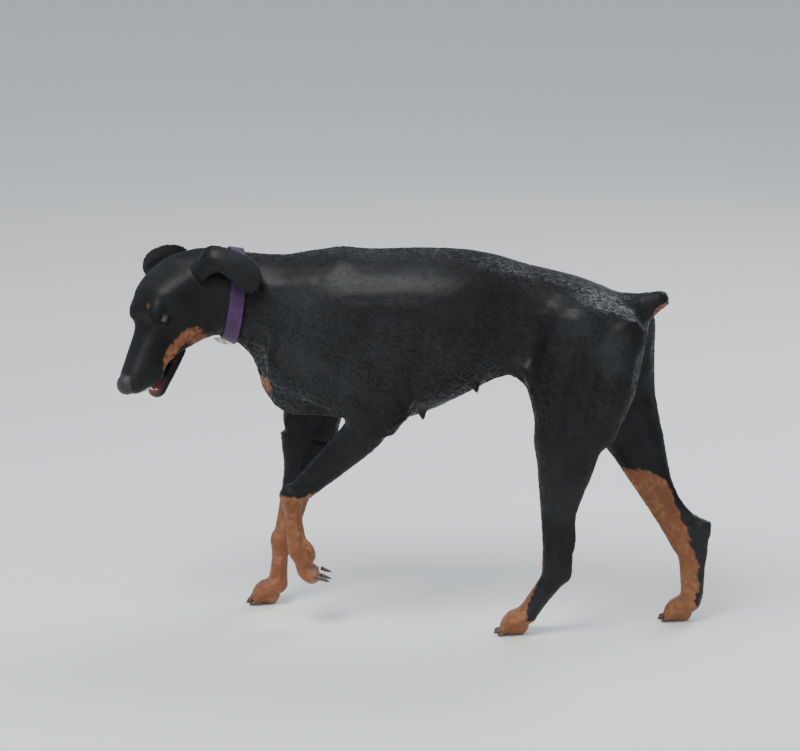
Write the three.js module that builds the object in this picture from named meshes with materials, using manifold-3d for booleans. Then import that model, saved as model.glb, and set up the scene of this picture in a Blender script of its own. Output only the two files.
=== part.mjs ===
// A doberman pinscher bitch at life size, as a still model: she walks to the left with her near
// foreleg lifted, her head low and turned to her left, drop ears laid back, in a nylon collar.
//
// Her body is described as rounded forms (bones with flesh on them) that melt into one another.
// Each named part is the piece of that body between two thin cuts, as one closed solid.
// Millimetres. She faces -X, her left side is -Y, up is +Z, and the floor is z = 0.

import * as THREE from "three";
import { mergeVertices } from "three/addons/utils/BufferGeometryUtils.js";
import Module from "manifold-3d";

const wasm = await Module();
wasm.setup();

// Driving dimensions
const GAP = 0.3; // between neighbouring parts
const WITHERS = 670; // height of the back over the shoulder blades
const LOIN = 684; // highest point of the back
const CHEST_FLOOR = 368; // lowest point of the rib cage
const CHEST_HALF_WIDTH = 116;
const HEAD_YAW = 60; // degrees that the head turns to her left
const HEAD_PITCH = 55; // degrees that the muzzle points down
const HEAD_ROLL = 9;
const OCCIPUT = [-483, -43, 682]; // the head's own origin, at the back of the skull
const JAW_OPEN = 7; // degrees
const EYE_RADIUS = 11;
const EYE_PLACE = [124.5, 34.6, -30.5]; // forward, left and up from the occiput
const COLLAR_WIDTH = 25;
const COLLAR_THICK = 3;

// Joints of each leg, from the shoulder or hip down
const LEFT_FORE = {
  side: -1,
  blade: [-163, -44, 640],
  shoulder: [-255, -82, 480],
  elbow: [-88, -91, 403],
  elbowDepth: 37,
  wrist: [-256, -82, 243],
  knuckles: [-246, -76, 142],
};
const RIGHT_FORE = {
  side: 1,
  blade: [-180, 44, 640],
  shoulder: [-298, 80, 508],
  elbow: [-247, 74, 346],
  elbowDepth: 51,
  wrist: [-300, 47, 120],
  knuckles: [-306, 40, 38],
};
const LEFT_HIND = {
  side: -1,
  hip: [292, -74, 562],
  stifle: [214, -86, 366],
  hock: [221, -63, 131],
  heel: [231, -62, 115],
  knuckles: [166, -60, 37],
  hamstring: [56, 66],
};
const RIGHT_HIND = {
  side: 1,
  hip: [296, 74, 562],
  stifle: [304, 84, 352],
  hock: [438, 62, 150],
  heel: [470, 62, 174],
  knuckles: [450, 60, 37],
  hamstring: [30, 38],
};

// Colours and finishes
const COAT = { color: 0x1b1c20, roughness: 0.62, metalness: 0 };
const RUST = { color: 0x8a4a26, roughness: 0.7, metalness: 0 };
const NOSE_LEATHER = { color: 0x17171a, roughness: 0.5, metalness: 0 };
const WET = { color: 0x1a0f08, roughness: 0.1, metalness: 0 };
const TONGUE_PINK = { color: 0xb4606a, roughness: 0.35, metalness: 0 };
const NYLON = { color: 0x4a2361, roughness: 0.8, metalness: 0 };
const PLATED = { color: 0xc9c2a6, roughness: 0.3, metalness: 1 };

const vector = (xyz) => new THREE.Vector3(...xyz);
const radians = THREE.MathUtils.degToRad;
const SIDEWAYS = new THREE.Vector3(0, 1, 0);

// A point a share of the way between two, moved by an offset
function between(a, b, share, offset = [0, 0, 0]) {
  return a.map((v, i) => v + (b[i] - v) * share + offset[i]);
}

// Rows of numbers made finer by a smooth curve through them
function smoothRows(rows, steps) {
  const finer = [];
  for (let i = 0; i < rows.length - 1; i++) {
    const [b, c] = [rows[i], rows[i + 1]];
    const [a, d] = [rows[Math.max(i - 1, 0)], rows[Math.min(i + 2, rows.length - 1)]];
    for (let k = 0; k < steps; k++) {
      const t = k / steps;
      finer.push(
        b.map((_, j) => {
          const slopeB = (c[j] - a[j]) / 2;
          const slopeC = (d[j] - b[j]) / 2;
          const rise = c[j] - b[j];
          const [square, cube] = [3 * rise - 2 * slopeB - slopeC, slopeB + slopeC - 2 * rise];
          return b[j] + slopeB * t + square * t ** 2 + cube * t ** 3;
        }),
      );
    }
  }
  finer.push(rows.at(-1));
  return finer;
}

// Each form below is a function of a point: below zero inside the flesh, above zero outside,
// and close to the distance in millimetres near the surface.

// A limb along rows of [x, y, z, depth, width]: the depth is its half thickness in the plane
// of the leg, the width its half thickness along `side`.
function limb(rows, side = SIDEWAYS) {
  const fine = smoothRows(rows, rows.length > 2 ? 3 : 1);
  const [middle, reach] = roundBound(fine);
  return (p) => {
    const away = p.distanceTo(middle) - reach;
    if (away > FAR) return away;
    let nearest = Infinity;
    for (let i = 0; i < fine.length - 1; i++) {
      const [ax, ay, az, deepA, wideA] = fine[i];
      const [bx, by, bz, deepB, wideB] = fine[i + 1];
      const [dx, dy, dz] = [bx - ax, by - ay, bz - az];
      const [qx, qy, qz] = [p.x - ax, p.y - ay, p.z - az];
      const along = (qx * dx + qy * dy + qz * dz) / (dx * dx + dy * dy + dz * dz);
      const t = Math.min(Math.max(along, 0), 1);
      const [rx, ry, rz] = [qx - t * dx, qy - t * dy, qz - t * dz];
      const across = rx * side.x + ry * side.y + rz * side.z;
      const rest = Math.max(rx * rx + ry * ry + rz * rz - across * across, 0);
      const deep = deepA + (deepB - deepA) * t;
      const wide = wideA + (wideB - wideA) * t;
      const level = rest / deep ** 2 + (across / wide) ** 2;
      const slope = rest / deep ** 4 + across ** 2 / wide ** 4;
      nearest = Math.min(nearest, ovalDistance(level, slope, Math.min(deep, wide)));
    }
    return nearest;
  };
}

// A ball that holds rows of [x, y, z, depth, width]; a form further off than FAR isn't measured
const FAR = 70;
function roundBound(rows) {
  const middle = rows.reduce((sum, [x, y, z]) => sum.add(new THREE.Vector3(x, y, z)), new THREE.Vector3());
  middle.divideScalar(rows.length);
  const reachOf = ([x, y, z, deep, wide]) => middle.distanceTo(vector([x, y, z])) + Math.max(deep, wide);
  const reach = Math.max(...rows.map(reachOf));
  return [middle, reach];
}

function ovalDistance(square, slopeSquare, least) {
  if (slopeSquare < 1e-12) return -least;
  const k = Math.sqrt(square);
  return (k * (k - 1)) / Math.sqrt(slopeSquare);
}

// An egg with its centre and three half sizes along the axes of a frame
function egg(centre, [rx, ry, rz], frame = new THREE.Matrix4()) {
  const inverse = frame.clone().invert();
  const c = vector(centre);
  const middle = c.clone().applyMatrix4(frame);
  const reach = Math.max(rx, ry, rz);
  const q = new THREE.Vector3();
  return (p) => {
    const away = p.distanceTo(middle) - reach;
    if (away > FAR) return away;
    q.copy(p).applyMatrix4(inverse).sub(c);
    const [x, y, z] = [q.x / rx, q.y / ry, q.z / rz];
    return ovalDistance(x * x + y * y + z * z, (x / rx) ** 2 + (y / ry) ** 2 + (z / rz) ** 2, Math.min(rx, ry, rz));
  };
}

// A trunk cut across at rows of [along, top, bottom, half width, height of the widest place].
// Squareness is 2 for an oval section and more for one with flatter sides.
function trunk(rows, squareness, frame = new THREE.Matrix4()) {
  const fine = smoothRows(rows, 3);
  const inverse = frame.clone().invert();
  const q = new THREE.Vector3();
  return (p) => {
    q.copy(p).applyMatrix4(inverse);
    const along = q.x;
    let i = 0;
    while (i < fine.length - 2 && along > fine[i + 1][0]) i++;
    const [a, b] = [fine[i], fine[i + 1]];
    const t = Math.min(Math.max((along - a[0]) / (b[0] - a[0]), 0), 1);
    const [, top, bottom, wide, middle] = a.map((v, j) => v + (b[j] - v) * t);
    const rise = q.z - middle;
    const high = rise > 0 ? top - middle : middle - bottom;
    const power = (Math.abs(q.y) / wide) ** squareness + (Math.abs(rise) / high) ** squareness;
    const reach = Math.hypot(q.y, rise);
    const k = power ** (1 / squareness);
    const flat = reach < 1e-6 ? -Math.min(wide, high) : reach * (1 - 1 / k);
    const past = Math.max(fine[0][0] - along, along - fine.at(-1)[0]);
    return past > 0 ? Math.hypot(Math.max(flat, 0), past) : flat;
  };
}

// Forms melted together; `soft` is the width of the fillet between them
function melt(soft, ...forms) {
  return (p) => {
    let joined = forms[0](p);
    for (let i = 1; i < forms.length; i++) {
      const next = forms[i](p);
      const near = Math.max(soft - Math.abs(joined - next), 0) / soft;
      joined = Math.min(joined, next) - (near * near * soft) / 4;
    }
    return joined;
  };
}

// The surface of a form inside a box of a frame, as a closed solid. The box is divided in cells,
// each cell that the surface crosses gets a point, and the points are drawn onto the surface.
function solidOf(form, low, high, cell, frame = new THREE.Matrix4()) {
  const cells = typeof cell === "number" ? [cell, cell, cell] : cell;
  const count = low.map((v, i) => Math.ceil((high[i] - v) / cells[i]) + 3);
  const start = low.map((v, i) => v - 1.5 * cells[i] + ((high[i] - v) - (count[i] - 3) * cells[i]) / 2);
  const world = new THREE.Vector3();
  const boxed = (x, y, z) => {
    const outside = Math.max(low[0] - x, x - high[0], low[1] - y, y - high[1], low[2] - z, z - high[2]);
    return Math.max(form(world.set(x, y, z).applyMatrix4(frame)), outside);
  };
  const [nx, ny, nz] = count.map((n) => n + 1);
  const at = (i, j, k) => (k * ny + j) * nx + i;
  const values = new Float32Array(nx * ny * nz);
  for (let k = 0; k < nz; k++)
    for (let j = 0; j < ny; j++)
      for (let i = 0; i < nx; i++)
        values[at(i, j, k)] = boxed(start[0] + i * cells[0], start[1] + j * cells[1], start[2] + k * cells[2]);

  const points = [];
  const pointOf = new Map();
  const corners = [0, 1, 2, 3, 4, 5, 6, 7].map((c) => [c & 1, (c >> 1) & 1, c >> 2]);
  const edges = [];
  for (let a = 0; a < 8; a++) for (const bit of [1, 2, 4]) if (!(a & bit)) edges.push([a, a | bit]);
  for (let k = 0; k < nz - 1; k++)
    for (let j = 0; j < ny - 1; j++)
      for (let i = 0; i < nx - 1; i++) {
        const v = corners.map(([a, b, c]) => values[at(i + a, j + b, k + c)]);
        if (v.every((w) => w < 0) || v.every((w) => w >= 0)) continue;
        const sum = [0, 0, 0];
        let crossings = 0;
        for (const [a, b] of edges) {
          if (v[a] < 0 === v[b] < 0) continue;
          const t = v[a] / (v[a] - v[b]);
          [i, j, k].forEach((n, m) => (sum[m] += n + corners[a][m] + (corners[b][m] - corners[a][m]) * t));
          crossings++;
        }
        pointOf.set(at(i, j, k), points.length);
        points.push(sum.map((s, m) => start[m] + (s / crossings) * cells[m]));
      }

  const triangles = [];
  const quad = (a, b, c, d, flip) => {
    const [p, q, r, s] = [a, b, c, d].map((n) => points[n]);
    const apart = (u, w) => Math.hypot(u[0] - w[0], u[1] - w[1], u[2] - w[2]);
    const pair = apart(p, r) < apart(q, s) ? [[a, b, c], [a, c, d]] : [[a, b, d], [b, c, d]];
    for (const t of pair) triangles.push(flip ? [t[0], t[2], t[1]] : t);
  };
  for (let k = 1; k < nz - 1; k++)
    for (let j = 1; j < ny - 1; j++)
      for (let i = 1; i < nx - 1; i++) {
        const inside = values[at(i, j, k)] < 0;
        const c = (a, b, d) => pointOf.get(at(i - a, j - b, k - d));
        if (inside !== values[at(i + 1, j, k)] < 0) quad(c(0, 1, 1), c(0, 0, 1), c(0, 0, 0), c(0, 1, 0), !inside);
        if (inside !== values[at(i, j + 1, k)] < 0) quad(c(1, 0, 1), c(1, 0, 0), c(0, 0, 0), c(0, 0, 1), !inside);
        if (inside !== values[at(i, j, k + 1)] < 0) quad(c(1, 1, 0), c(0, 1, 0), c(0, 0, 0), c(1, 0, 0), !inside);
      }

  const near = points.map(() => new Set());
  for (const t of triangles) t.forEach((n, m) => near[n].add(t[(m + 1) % 3]).add(t[(m + 2) % 3]));
  for (let round = 0; round < 3; round++) {
    const eased = points.map((p, n) => {
      const around = [...near[n]];
      const mean = p.map((_, m) => around.reduce((s, o) => s + points[o][m], 0) / around.length);
      return p.map((v, m) => v + (mean[m] - v) * 0.5);
    });
    eased.forEach((p, n) => (points[n] = ontoSurface(boxed, p)));
  }
  const flat = new Float32Array(points.flatMap((p) => world.set(...p).applyMatrix4(frame).toArray()));
  const triVerts = new Uint32Array(triangles.flat());
  return new wasm.Manifold(new wasm.Mesh({ numProp: 3, vertProperties: flat, triVerts }));
}

function ontoSurface(form, [x, y, z]) {
  const h = 0.4;
  for (let step = 0; step < 2; step++) {
    const value = form(x, y, z);
    const slope = [
      (form(x + h, y, z) - form(x - h, y, z)) / (2 * h),
      (form(x, y + h, z) - form(x, y - h, z)) / (2 * h),
      (form(x, y, z + h) - form(x, y, z - h)) / (2 * h),
    ];
    const square = Math.max(slope[0] ** 2 + slope[1] ** 2 + slope[2] ** 2, 0.2);
    const back = Math.max(-4, Math.min(4, value)) / square;
    [x, y, z] = [x - slope[0] * back, y - slope[1] * back, z - slope[2] * back];
  }
  return [x, y, z];
}

// A three.js geometry as a solid
function carved(geometry, matrix = new THREE.Matrix4()) {
  const bare = geometry.clone().applyMatrix4(matrix);
  for (const name of ["normal", "uv"]) bare.deleteAttribute(name);
  const merged = mergeVertices(bare, 1e-3);
  return new wasm.Manifold(
    new wasm.Mesh({
      numProp: 3,
      vertProperties: new Float32Array(merged.attributes.position.array),
      triVerts: new Uint32Array(merged.index.array),
    }),
  );
}

// Keeps what lies on the side of a plane that its normal points to, short of it by half a gap
function keepPast(solid, point, normal) {
  const n = vector(normal).normalize();
  return solid.trimByPlane(n.toArray(), n.dot(vector(point)) + GAP / 2);
}

const reversed = (normal) => normal.map((v) => -v);
const direction = (a, b) => vector(b).sub(vector(a)).normalize().toArray();

function largest(solid) {
  return solid.decompose().sort((a, b) => b.volume() - a.volume())[0];
}

const dog = new THREE.Group();
const FINEST = 0.15; // detail smaller than this is dropped
const FOLD_ROOM = 0.06; // folds that touch are drawn this far apart

// Where two folds of the surface touch, their points are drawn apart into the flesh
function partFolds(geometry) {
  const { position, normal } = geometry.attributes;
  const same = new Map();
  for (let i = 0; i < position.count; i++) {
    const key = [position.getX(i), position.getY(i), position.getZ(i)].map((v) => v.toFixed(2)).join();
    same.set(key, [...(same.get(key) ?? []), i]);
  }
  for (const group of same.values())
    if (group.length > 1)
      for (const i of group)
        position.setXYZ(
          i,
          position.getX(i) - normal.getX(i) * FOLD_ROOM,
          position.getY(i) - normal.getY(i) * FOLD_ROOM,
          position.getZ(i) - normal.getZ(i) * FOLD_ROOM,
        );
}

function addPart(name, solid, finish) {
  const mesh = largest(solid.simplify(FINEST)).getMesh();
  const count = mesh.numProp;
  const positions = new Float32Array(mesh.numVert * 3);
  for (let i = 0; i < mesh.numVert; i++) {
    positions.set(mesh.vertProperties.subarray(i * count, i * count + 3), i * 3);
  }
  const geometry = new THREE.BufferGeometry()
    .setAttribute("position", new THREE.BufferAttribute(positions, 3))
    .setIndex(new THREE.BufferAttribute(mesh.triVerts, 1));
  geometry.computeVertexNormals();
  partFolds(geometry);
  const part = new THREE.Mesh(geometry, new THREE.MeshStandardMaterial(finish));
  part.name = name;
  dog.add(part);
}

// Rib cage, belly and pelvis, cut across from front to back:
// [x, top, bottom, half width, height of the widest place]
const barrel = trunk(
  [
    [-322, 560, 432, 26, 480],
    [-290, 612, 396, 62, 500],
    [-245, 650, 378, 84, 520],
    [-200, WITHERS - 3, CHEST_FLOOR + 4, 98, 535],
    [-150, 673, CHEST_FLOOR, 108, 545],
    [-100, 678, CHEST_FLOOR, 113, 550],
    [-50, 681, 378, CHEST_HALF_WIDTH, 556],
    [0, LOIN - 2, 399, CHEST_HALF_WIDTH - 1, 563],
    [50, LOIN - 4, 426, 108, 575],
    [100, 672, 453, 94, 582],
    [150, 659, 466, 82, 580],
    [200, 649, 468, 80, 574],
    [250, 636, 474, 84, 566],
    [300, 616, 484, 80, 556],
    [340, 598, 505, 56, 550],
    [366, 578, 530, 20, 552],
  ],
  2.15,
);

// The neck, deep where it leaves the chest and narrow behind the skull
const NECK_ROWS = [
  [-190, 0, 556, 108, 86],
  [-250, 0, 562, 102, 82],
  [-296, -2, 570, 93, 75],
  [-336, -5, 582, 83, 67],
  [-372, -8, 594, 75, 62],
  [-406, -14, 598, 75, 62],
  [-434, -20, 600, 71, 58],
  [-456, -26, 600, 60, 52],
];
const neck = limb(NECK_ROWS);
const breast = egg([-270, 0, 436], [34, 50, 54]);

// Shoulder blade, upper arm and the muscle behind it, down to the elbow
function shoulder({ side, blade, shoulder: point, elbow, elbowDepth }) {
  const out = [0, side, 0];
  const push = (d) => out.map((v) => v * d);
  return melt(
    16,
    limb([
      [...blade, 26, 13],
      [...between(blade, point, 0.5, push(2)), 36, 20],
      [...point, 40, 28],
    ]),
    limb([
      [...point, 42, 30],
      [...between(point, elbow, 0.5, push(4)), 42, 30],
      [...elbow, elbowDepth, 28],
    ]),
    limb([
      [...between(blade, point, 0.35, [62, side * 14, -20]), 46, 22],
      [...between(blade, elbow, 0.62, [20, side * 18, 0]), 46, 27],
      [...between(elbow, blade, 0.04, [24, 0, 0]), 30, 22],
    ]),
  );
}

function forearm({ elbow, wrist, elbowDepth }) {
  const down = vector(wrist).sub(vector(elbow)).normalize();
  const behind = [-down.z, 0, down.x];
  const at = (share, back, deep, wide) => [
    ...between(elbow, wrist, share, behind.map((v) => v * back)),
    deep,
    wide,
  ];
  return melt(
    10,
    limb([
      at(0, 1, elbowDepth - 3, 26),
      at(0.15, 2, elbowDepth, 29),
      at(0.4, 4, 33, 26),
      at(0.7, 5, 26, 22),
      at(0.92, 5, 22, 21),
      at(1, 4, 22, 21),
    ]),
    limb([at(-0.04, 20, 18, 15), at(0.14, 20, 19, 16)]),
  );
}

// Thigh: the big muscles in front of and behind the thigh bone
function thigh({ side, hip, stifle, hamstring }) {
  return melt(
    22,
    limb([
      [...between(hip, stifle, 0.02, [-36, 0, 0]), 54, 40],
      [...between(hip, stifle, 0.48, [-30, side * 4, 0]), 50, 40],
      [...between(hip, stifle, 0.98), 33, 32],
    ]),
    limb([
      [...between(hip, stifle, 0.02, [38, -side * 6, -6]), 42, 36],
      [...between(hip, stifle, 0.48, [hamstring[0], side * 2, 0]), 45, 38],
      [...between(hip, stifle, 0.9, [hamstring[1], 0, 4]), 38, 28],
    ]),
  );
}

// Lower thigh: the shin in front, the calf behind it running down to the heel cord
function shank({ side, stifle, hock, heel }) {
  const down = vector(hock).sub(vector(stifle)).normalize();
  const behind = [-down.z, 0, down.x];
  const at = (share, back, deep, wide) => [
    ...between(stifle, hock, share, behind.map((v) => v * back)),
    deep,
    wide,
  ];
  return melt(
    14,
    limb([
      at(-0.03, 0, 33, 30),
      at(0.2, -2, 30, 27),
      at(0.45, -5, 25, 22),
      at(0.75, -6, 22, 18),
      at(1, -5, 24, 19),
    ]),
    limb([
      at(-0.02, 48, 38, 27),
      at(0.2, 36, 34, 26),
      at(0.42, 27, 22, 20),
      at(0.6, 24, 12, 12),
      at(0.8, 25, 9, 9),
      [...heel, 12, 12],
    ]),
    limb([[...hock, 20, 19], [...heel, 13, 12]]),
    egg(between(stifle, hock, 0.06, [-behind[0] * 12, side * 2, -behind[2] * 12]), [18, 20, 24]),
  );
}

// The back edge of the long foot, straight from the point of the hock to the toes
function footBack({ heel, knuckles }) {
  const at = (share, deep, wide, offset) => [...between(heel, knuckles, share, offset), deep, wide];
  return limb([at(0, 13, 12), at(0.5, 13, 13, [4, 0, 3]), at(0.95, 13, 14, [9, 0, 7])]);
}

// The long bones of the foot, from the wrist or hock to the knuckles of the toes
function pastern(upper, knuckles, deep, wide) {
  return limb([
    [...upper, deep + 3, wide + 2],
    [...between(upper, knuckles, 0.35), deep - 1, wide],
    [...between(upper, knuckles, 0.75), deep, wide + 1],
    [...knuckles, deep + 1, wide + 4],
  ]);
}

// A paw in the frame of its knuckles: forward, across and up. `tip` and `bend` are how far the
// toe's end and its middle joint lie forward and up.
function paw(frame, { bend, tip, spread, heelPad }) {
  const across = new THREE.Vector3().setFromMatrixColumn(frame, 1);
  const place = (a, b, c) => vector([a, b, c]).applyMatrix4(frame).toArray();
  const toes = [];
  const claws = [];
  [-1.5, -0.5, 0.5, 1.5].forEach((rank) => {
    const inner = Math.abs(rank) < 1 ? 8 : 0;
    const off = rank * spread;
    toes.push(
      limb(
        [
          [...place(-4, off * 0.75, -3), 12, 9],
          [...place(bend[0] + inner, off, bend[1]), 11, 8.4],
          [...place(tip[0] + inner, off * 1.05, tip[1]), 10, 7.6],
        ],
        across,
      ),
    );
    const slope = Math.atan2(tip[1] - bend[1], tip[0] - bend[0]);
    const root = [tip[0] + inner + 7 * Math.cos(slope), off * 1.05, tip[1] + 7 * Math.sin(slope) + 2];
    claws.push({ place: place(...root), slope });
  });
  const pad = egg(heelPad.place, heelPad.size, frame);
  return { form: melt(6, ...toes, pad), claws, frame };
}

// A claw: a cone that droops towards its tip
function clawSolid({ place, slope }, frame, length = 15, radius = 3.6) {
  const profile = [
    [0, -6],
    [radius, -6],
    [radius * 0.85, length * 0.35],
    [radius * 0.45, length * 0.75],
    [0, length],
  ];
  const cone = new THREE.LatheGeometry(profile.map(([r, y]) => new THREE.Vector2(r, y)), 6);
  const p = cone.attributes.position;
  for (let i = 0; i < p.count; i++) p.setZ(i, p.getZ(i) + (Math.max(p.getY(i), 0) / length) ** 2 * 4);
  const turn = new THREE.Matrix4().makeRotationFromEuler(new THREE.Euler(0, 0, -Math.PI / 2));
  const tilt = new THREE.Matrix4().makeRotationY(-Math.max(slope, -0.75));
  const roll = new THREE.Matrix4().makeRotationX(-Math.PI / 2);
  const basis = new THREE.Matrix4().extractRotation(frame);
  const matrix = new THREE.Matrix4().setPosition(...place);
  for (const step of [basis, tilt, roll, turn]) matrix.multiply(step);
  return carved(cone, matrix);
}

function frameFrom(place, forward, up) {
  const f = vector(forward).normalize();
  const s = new THREE.Vector3().crossVectors(vector(up), f).normalize();
  const u = new THREE.Vector3().crossVectors(f, s);
  return new THREE.Matrix4().makeBasis(f, s, u).setPosition(...place);
}

// Planted paws point forward on the floor; the lifted one hangs with its toes curled back
const PLANTED = {
  bend: [21, -7],
  tip: [36, -29],
  spread: 14.5,
  heelPad: { place: [18, 0, -25], size: [22, 22, 16] },
};
const HANGING = {
  bend: [47, 0],
  tip: [53, -17],
  spread: 12.5,
  heelPad: { place: [12, 0, -16], size: [22, 20, 13] },
};
const paws = {
  fore_left: paw(frameFrom(LEFT_FORE.knuckles, [0.36, 0.08, -0.93], [-0.93, 0.1, -0.36]), HANGING),
  fore_right: paw(frameFrom(RIGHT_FORE.knuckles, [-1, -0.05, 0], [0, 0, 1]), PLANTED),
  hind_left: paw(frameFrom(LEFT_HIND.knuckles, [-1, -0.04, 0], [0, 0, 1]), PLANTED),
  hind_right: paw(frameFrom(RIGHT_HIND.knuckles, [-1, 0.04, 0], [0, 0, 1]), PLANTED),
};

// The docked tail
const TAIL_ROWS = [
  [335, 0, 588, 26, 24],
  [362, 0, 594, 23, 21],
  [386, 0, 604, 17, 16],
];
const tail = limb(TAIL_ROWS);

// Teats in two rows along the belly: [x, side, length]
const TEATS = [
  [-122, -1, 7],
  [-122, 1, 7],
  [-27, -1, 15],
  [-20, 1, 12],
  [68, -1, 10],
  [82, 1, 10],
  [140, -1, 8],
  [145, 1, 8],
];
const TEAT_ROW = 38;
const bellyAt = (x) => {
  const ray = (z) => barrel(new THREE.Vector3(x, TEAT_ROW, z));
  let z = 300;
  while (ray(z) > 0) z += 1;
  return z;
};
const teats = TEATS.map(([x, side, length]) => {
  const top = bellyAt(x) + 8;
  const form = limb([
    [x, side * TEAT_ROW, top, 12, 12],
    [x + 1, side * TEAT_ROW, top - 8 - length * 0.5, 6, 6],
    [x + 2, side * (TEAT_ROW + 1), top - 8 - length, 4.5, 4.5],
  ]);
  return solidOf(form, [x - 16, side * TEAT_ROW - 16, top - 40], [x + 16, side * TEAT_ROW + 16, top + 16], 6);
});

const shoulders = { left: shoulder(LEFT_FORE), right: shoulder(RIGHT_FORE) };
const forearms = { left: forearm(LEFT_FORE), right: forearm(RIGHT_FORE) };
const thighs = { left: thigh(LEFT_HIND), right: thigh(RIGHT_HIND) };
const shanks = {
  left: melt(8, shank(LEFT_HIND), footBack(LEFT_HIND)),
  right: melt(8, shank(RIGHT_HIND), footBack(RIGHT_HIND)),
};
const trunkWithNeck = melt(45, barrel, neck, breast);
const flank = melt(
  10,
  limb([[110, -62, 506, 24, 16], [165, -74, 482, 20, 14], [200, -82, 440, 20, 16]]),
  limb([[110, 62, 506, 24, 16], [180, 74, 486, 20, 14], [250, 82, 440, 20, 16]]),
);
const body = melt(
  26,
  trunkWithNeck,
  melt(14, shoulders.left, forearms.left),
  melt(14, shoulders.right, forearms.right),
  melt(16, thighs.left, shanks.left),
  melt(16, thighs.right, shanks.right),
  tail,
  flank,
);

// Cuts through the body: [a point, the normal towards the tail or the foot]
const NECK_BASE = [[-300, 0, 590], [0.94, 0, -0.34]];
const HEAD_BASE = [[-406, -13, 608], [0.93, 0.15, -0.33]];
const BEHIND_CHEST = [[-8, 0, 540], [1, 0, 0]];
const BEFORE_RUMP = [[168, 0, 560], [1, 0, 0]];
const TAIL_ROOT = [[358, 0, 590], direction([335, 0, 583], [386, 0, 604])];
const GROIN_HEIGHT = 462;

const wristCut = ({ elbow, wrist }) => [between(elbow, wrist, 0.93), direction(elbow, wrist)];
const elbowCut = ({ elbow, wrist }, share) => [between(elbow, wrist, share), direction(elbow, wrist)];
const stifleCut = ({ stifle, hock }) => [between(stifle, hock, 0.1), direction(stifle, hock)];
const hockCut = ({ hock, knuckles }) => [between(hock, knuckles, 0.16), direction(hock, knuckles)];

// The block of space past a cut that a leg's own parts fill
function blockPast([point, normal], { across, deep, length }) {
  const frame = frameFrom(point, normal, [0, 1, 0]);
  frame.multiply(new THREE.Matrix4().makeTranslation(length / 2 - GAP / 2, 0, 0));
  return carved(new THREE.BoxGeometry(length, deep, across), frame);
}

const leftElbow = elbowCut(LEFT_FORE, 0.24);
const rightElbow = elbowCut(RIGHT_FORE, 0.16);
const LEFT_BLOCK = { across: 76, deep: 86, length: 320 };
const RIGHT_BLOCK = { across: 110, deep: 130, length: 360 };
const foreBlocks = blockPast(leftElbow, LEFT_BLOCK).add(blockPast(rightElbow, RIGHT_BLOCK));

// Below the groin each hind leg is its own; the blocks stop short of the midline
const THIGH_FRONT = 158;
function hindBlock(side) {
  const box = new THREE.BoxGeometry(420, 170, 500);
  const middle = [THIGH_FRONT - GAP + 210, side * (85 + 4), GROIN_HEIGHT - 250 + GAP / 2];
  return carved(box, new THREE.Matrix4().makeTranslation(...middle));
}
const hindBlocks = hindBlock(-1).add(hindBlock(1));

const CORE_CELL = 26;
function coreBlock(low, high) {
  return solidOf(body, low, high, CORE_CELL);
}

function trunkParts() {
  const allTeats = teats.reduce((all, teat) => all.add(teat));
  const chest = coreBlock([-345, -150, 292], [10, 150, 700]).add(allTeats);
  const ribs = keepPast(keepPast(chest, ...NECK_BASE), BEHIND_CHEST[0], reversed(BEHIND_CHEST[1]));
  addPart("chest", ribs.subtract(foreBlocks), COAT);
  const loin = coreBlock([-28, -150, 340], [188, 150, 700]).add(allTeats);
  const belly = keepPast(keepPast(loin, ...BEHIND_CHEST), BEFORE_RUMP[0], reversed(BEFORE_RUMP[1]));
  addPart("loin", belly.subtract(hindBlocks), COAT);
  const rump = coreBlock([148, -150, 440], [400, 150, 690]);
  const croup = keepPast(keepPast(rump, ...BEFORE_RUMP), TAIL_ROOT[0], reversed(TAIL_ROOT[1]));
  addPart("rump", croup.subtract(hindBlocks), COAT);
  addPart("tail", keepPast(solidOf(body, [346, -34, 560], [420, 34, 640], 12), ...TAIL_ROOT), COAT);
}

function foreParts(name, leg, form, elbowPlane, block, foot) {
  const wrist = wristCut(leg);
  const frame = frameFrom(elbowPlane[0], elbowPlane[1], [0, 1, 0]);
  const length = vector(wrist[0]).distanceTo(vector(elbowPlane[0]));
  const [deep, across] = [block.deep / 2 - GAP, block.across / 2 - GAP];
  const upper = solidOf(form, [-16, -deep, -across], [length + 16, deep, across], [22, 12, 12], frame);
  addPart(`forearm_${name}`, keepPast(keepPast(upper, ...elbowPlane), wrist[0], reversed(wrist[1])), COAT);
  pawPart(`forepaw_${name}`, form, leg, wrist, leg.wrist, foot, leg.side > 0);
}

const PAW_CELL = 11.8;
function pawPart(name, form, leg, cut, upper, foot, planted) {
  const forward = direction(cut[0], leg.knuckles);
  const frame = frameFrom(cut[0], forward, [0, 1, 0]);
  const reach = vector(cut[0]).distanceTo(vector(leg.knuckles)) + 85;
  const flesh = melt(9, form, pastern(upper, leg.knuckles, 17, 18), foot.form);
  let solid = solidOf(flesh, [-12, -85, -50], [reach, 85, 50], PAW_CELL, frame);
  solid = keepPast(solid, ...cut);
  for (const claw of foot.claws) solid = solid.add(clawSolid(claw, foot.frame));
  if (planted) solid = solid.trimByPlane([0, 0, 1], 0);
  addPart(name, solid, RUST);
}

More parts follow.
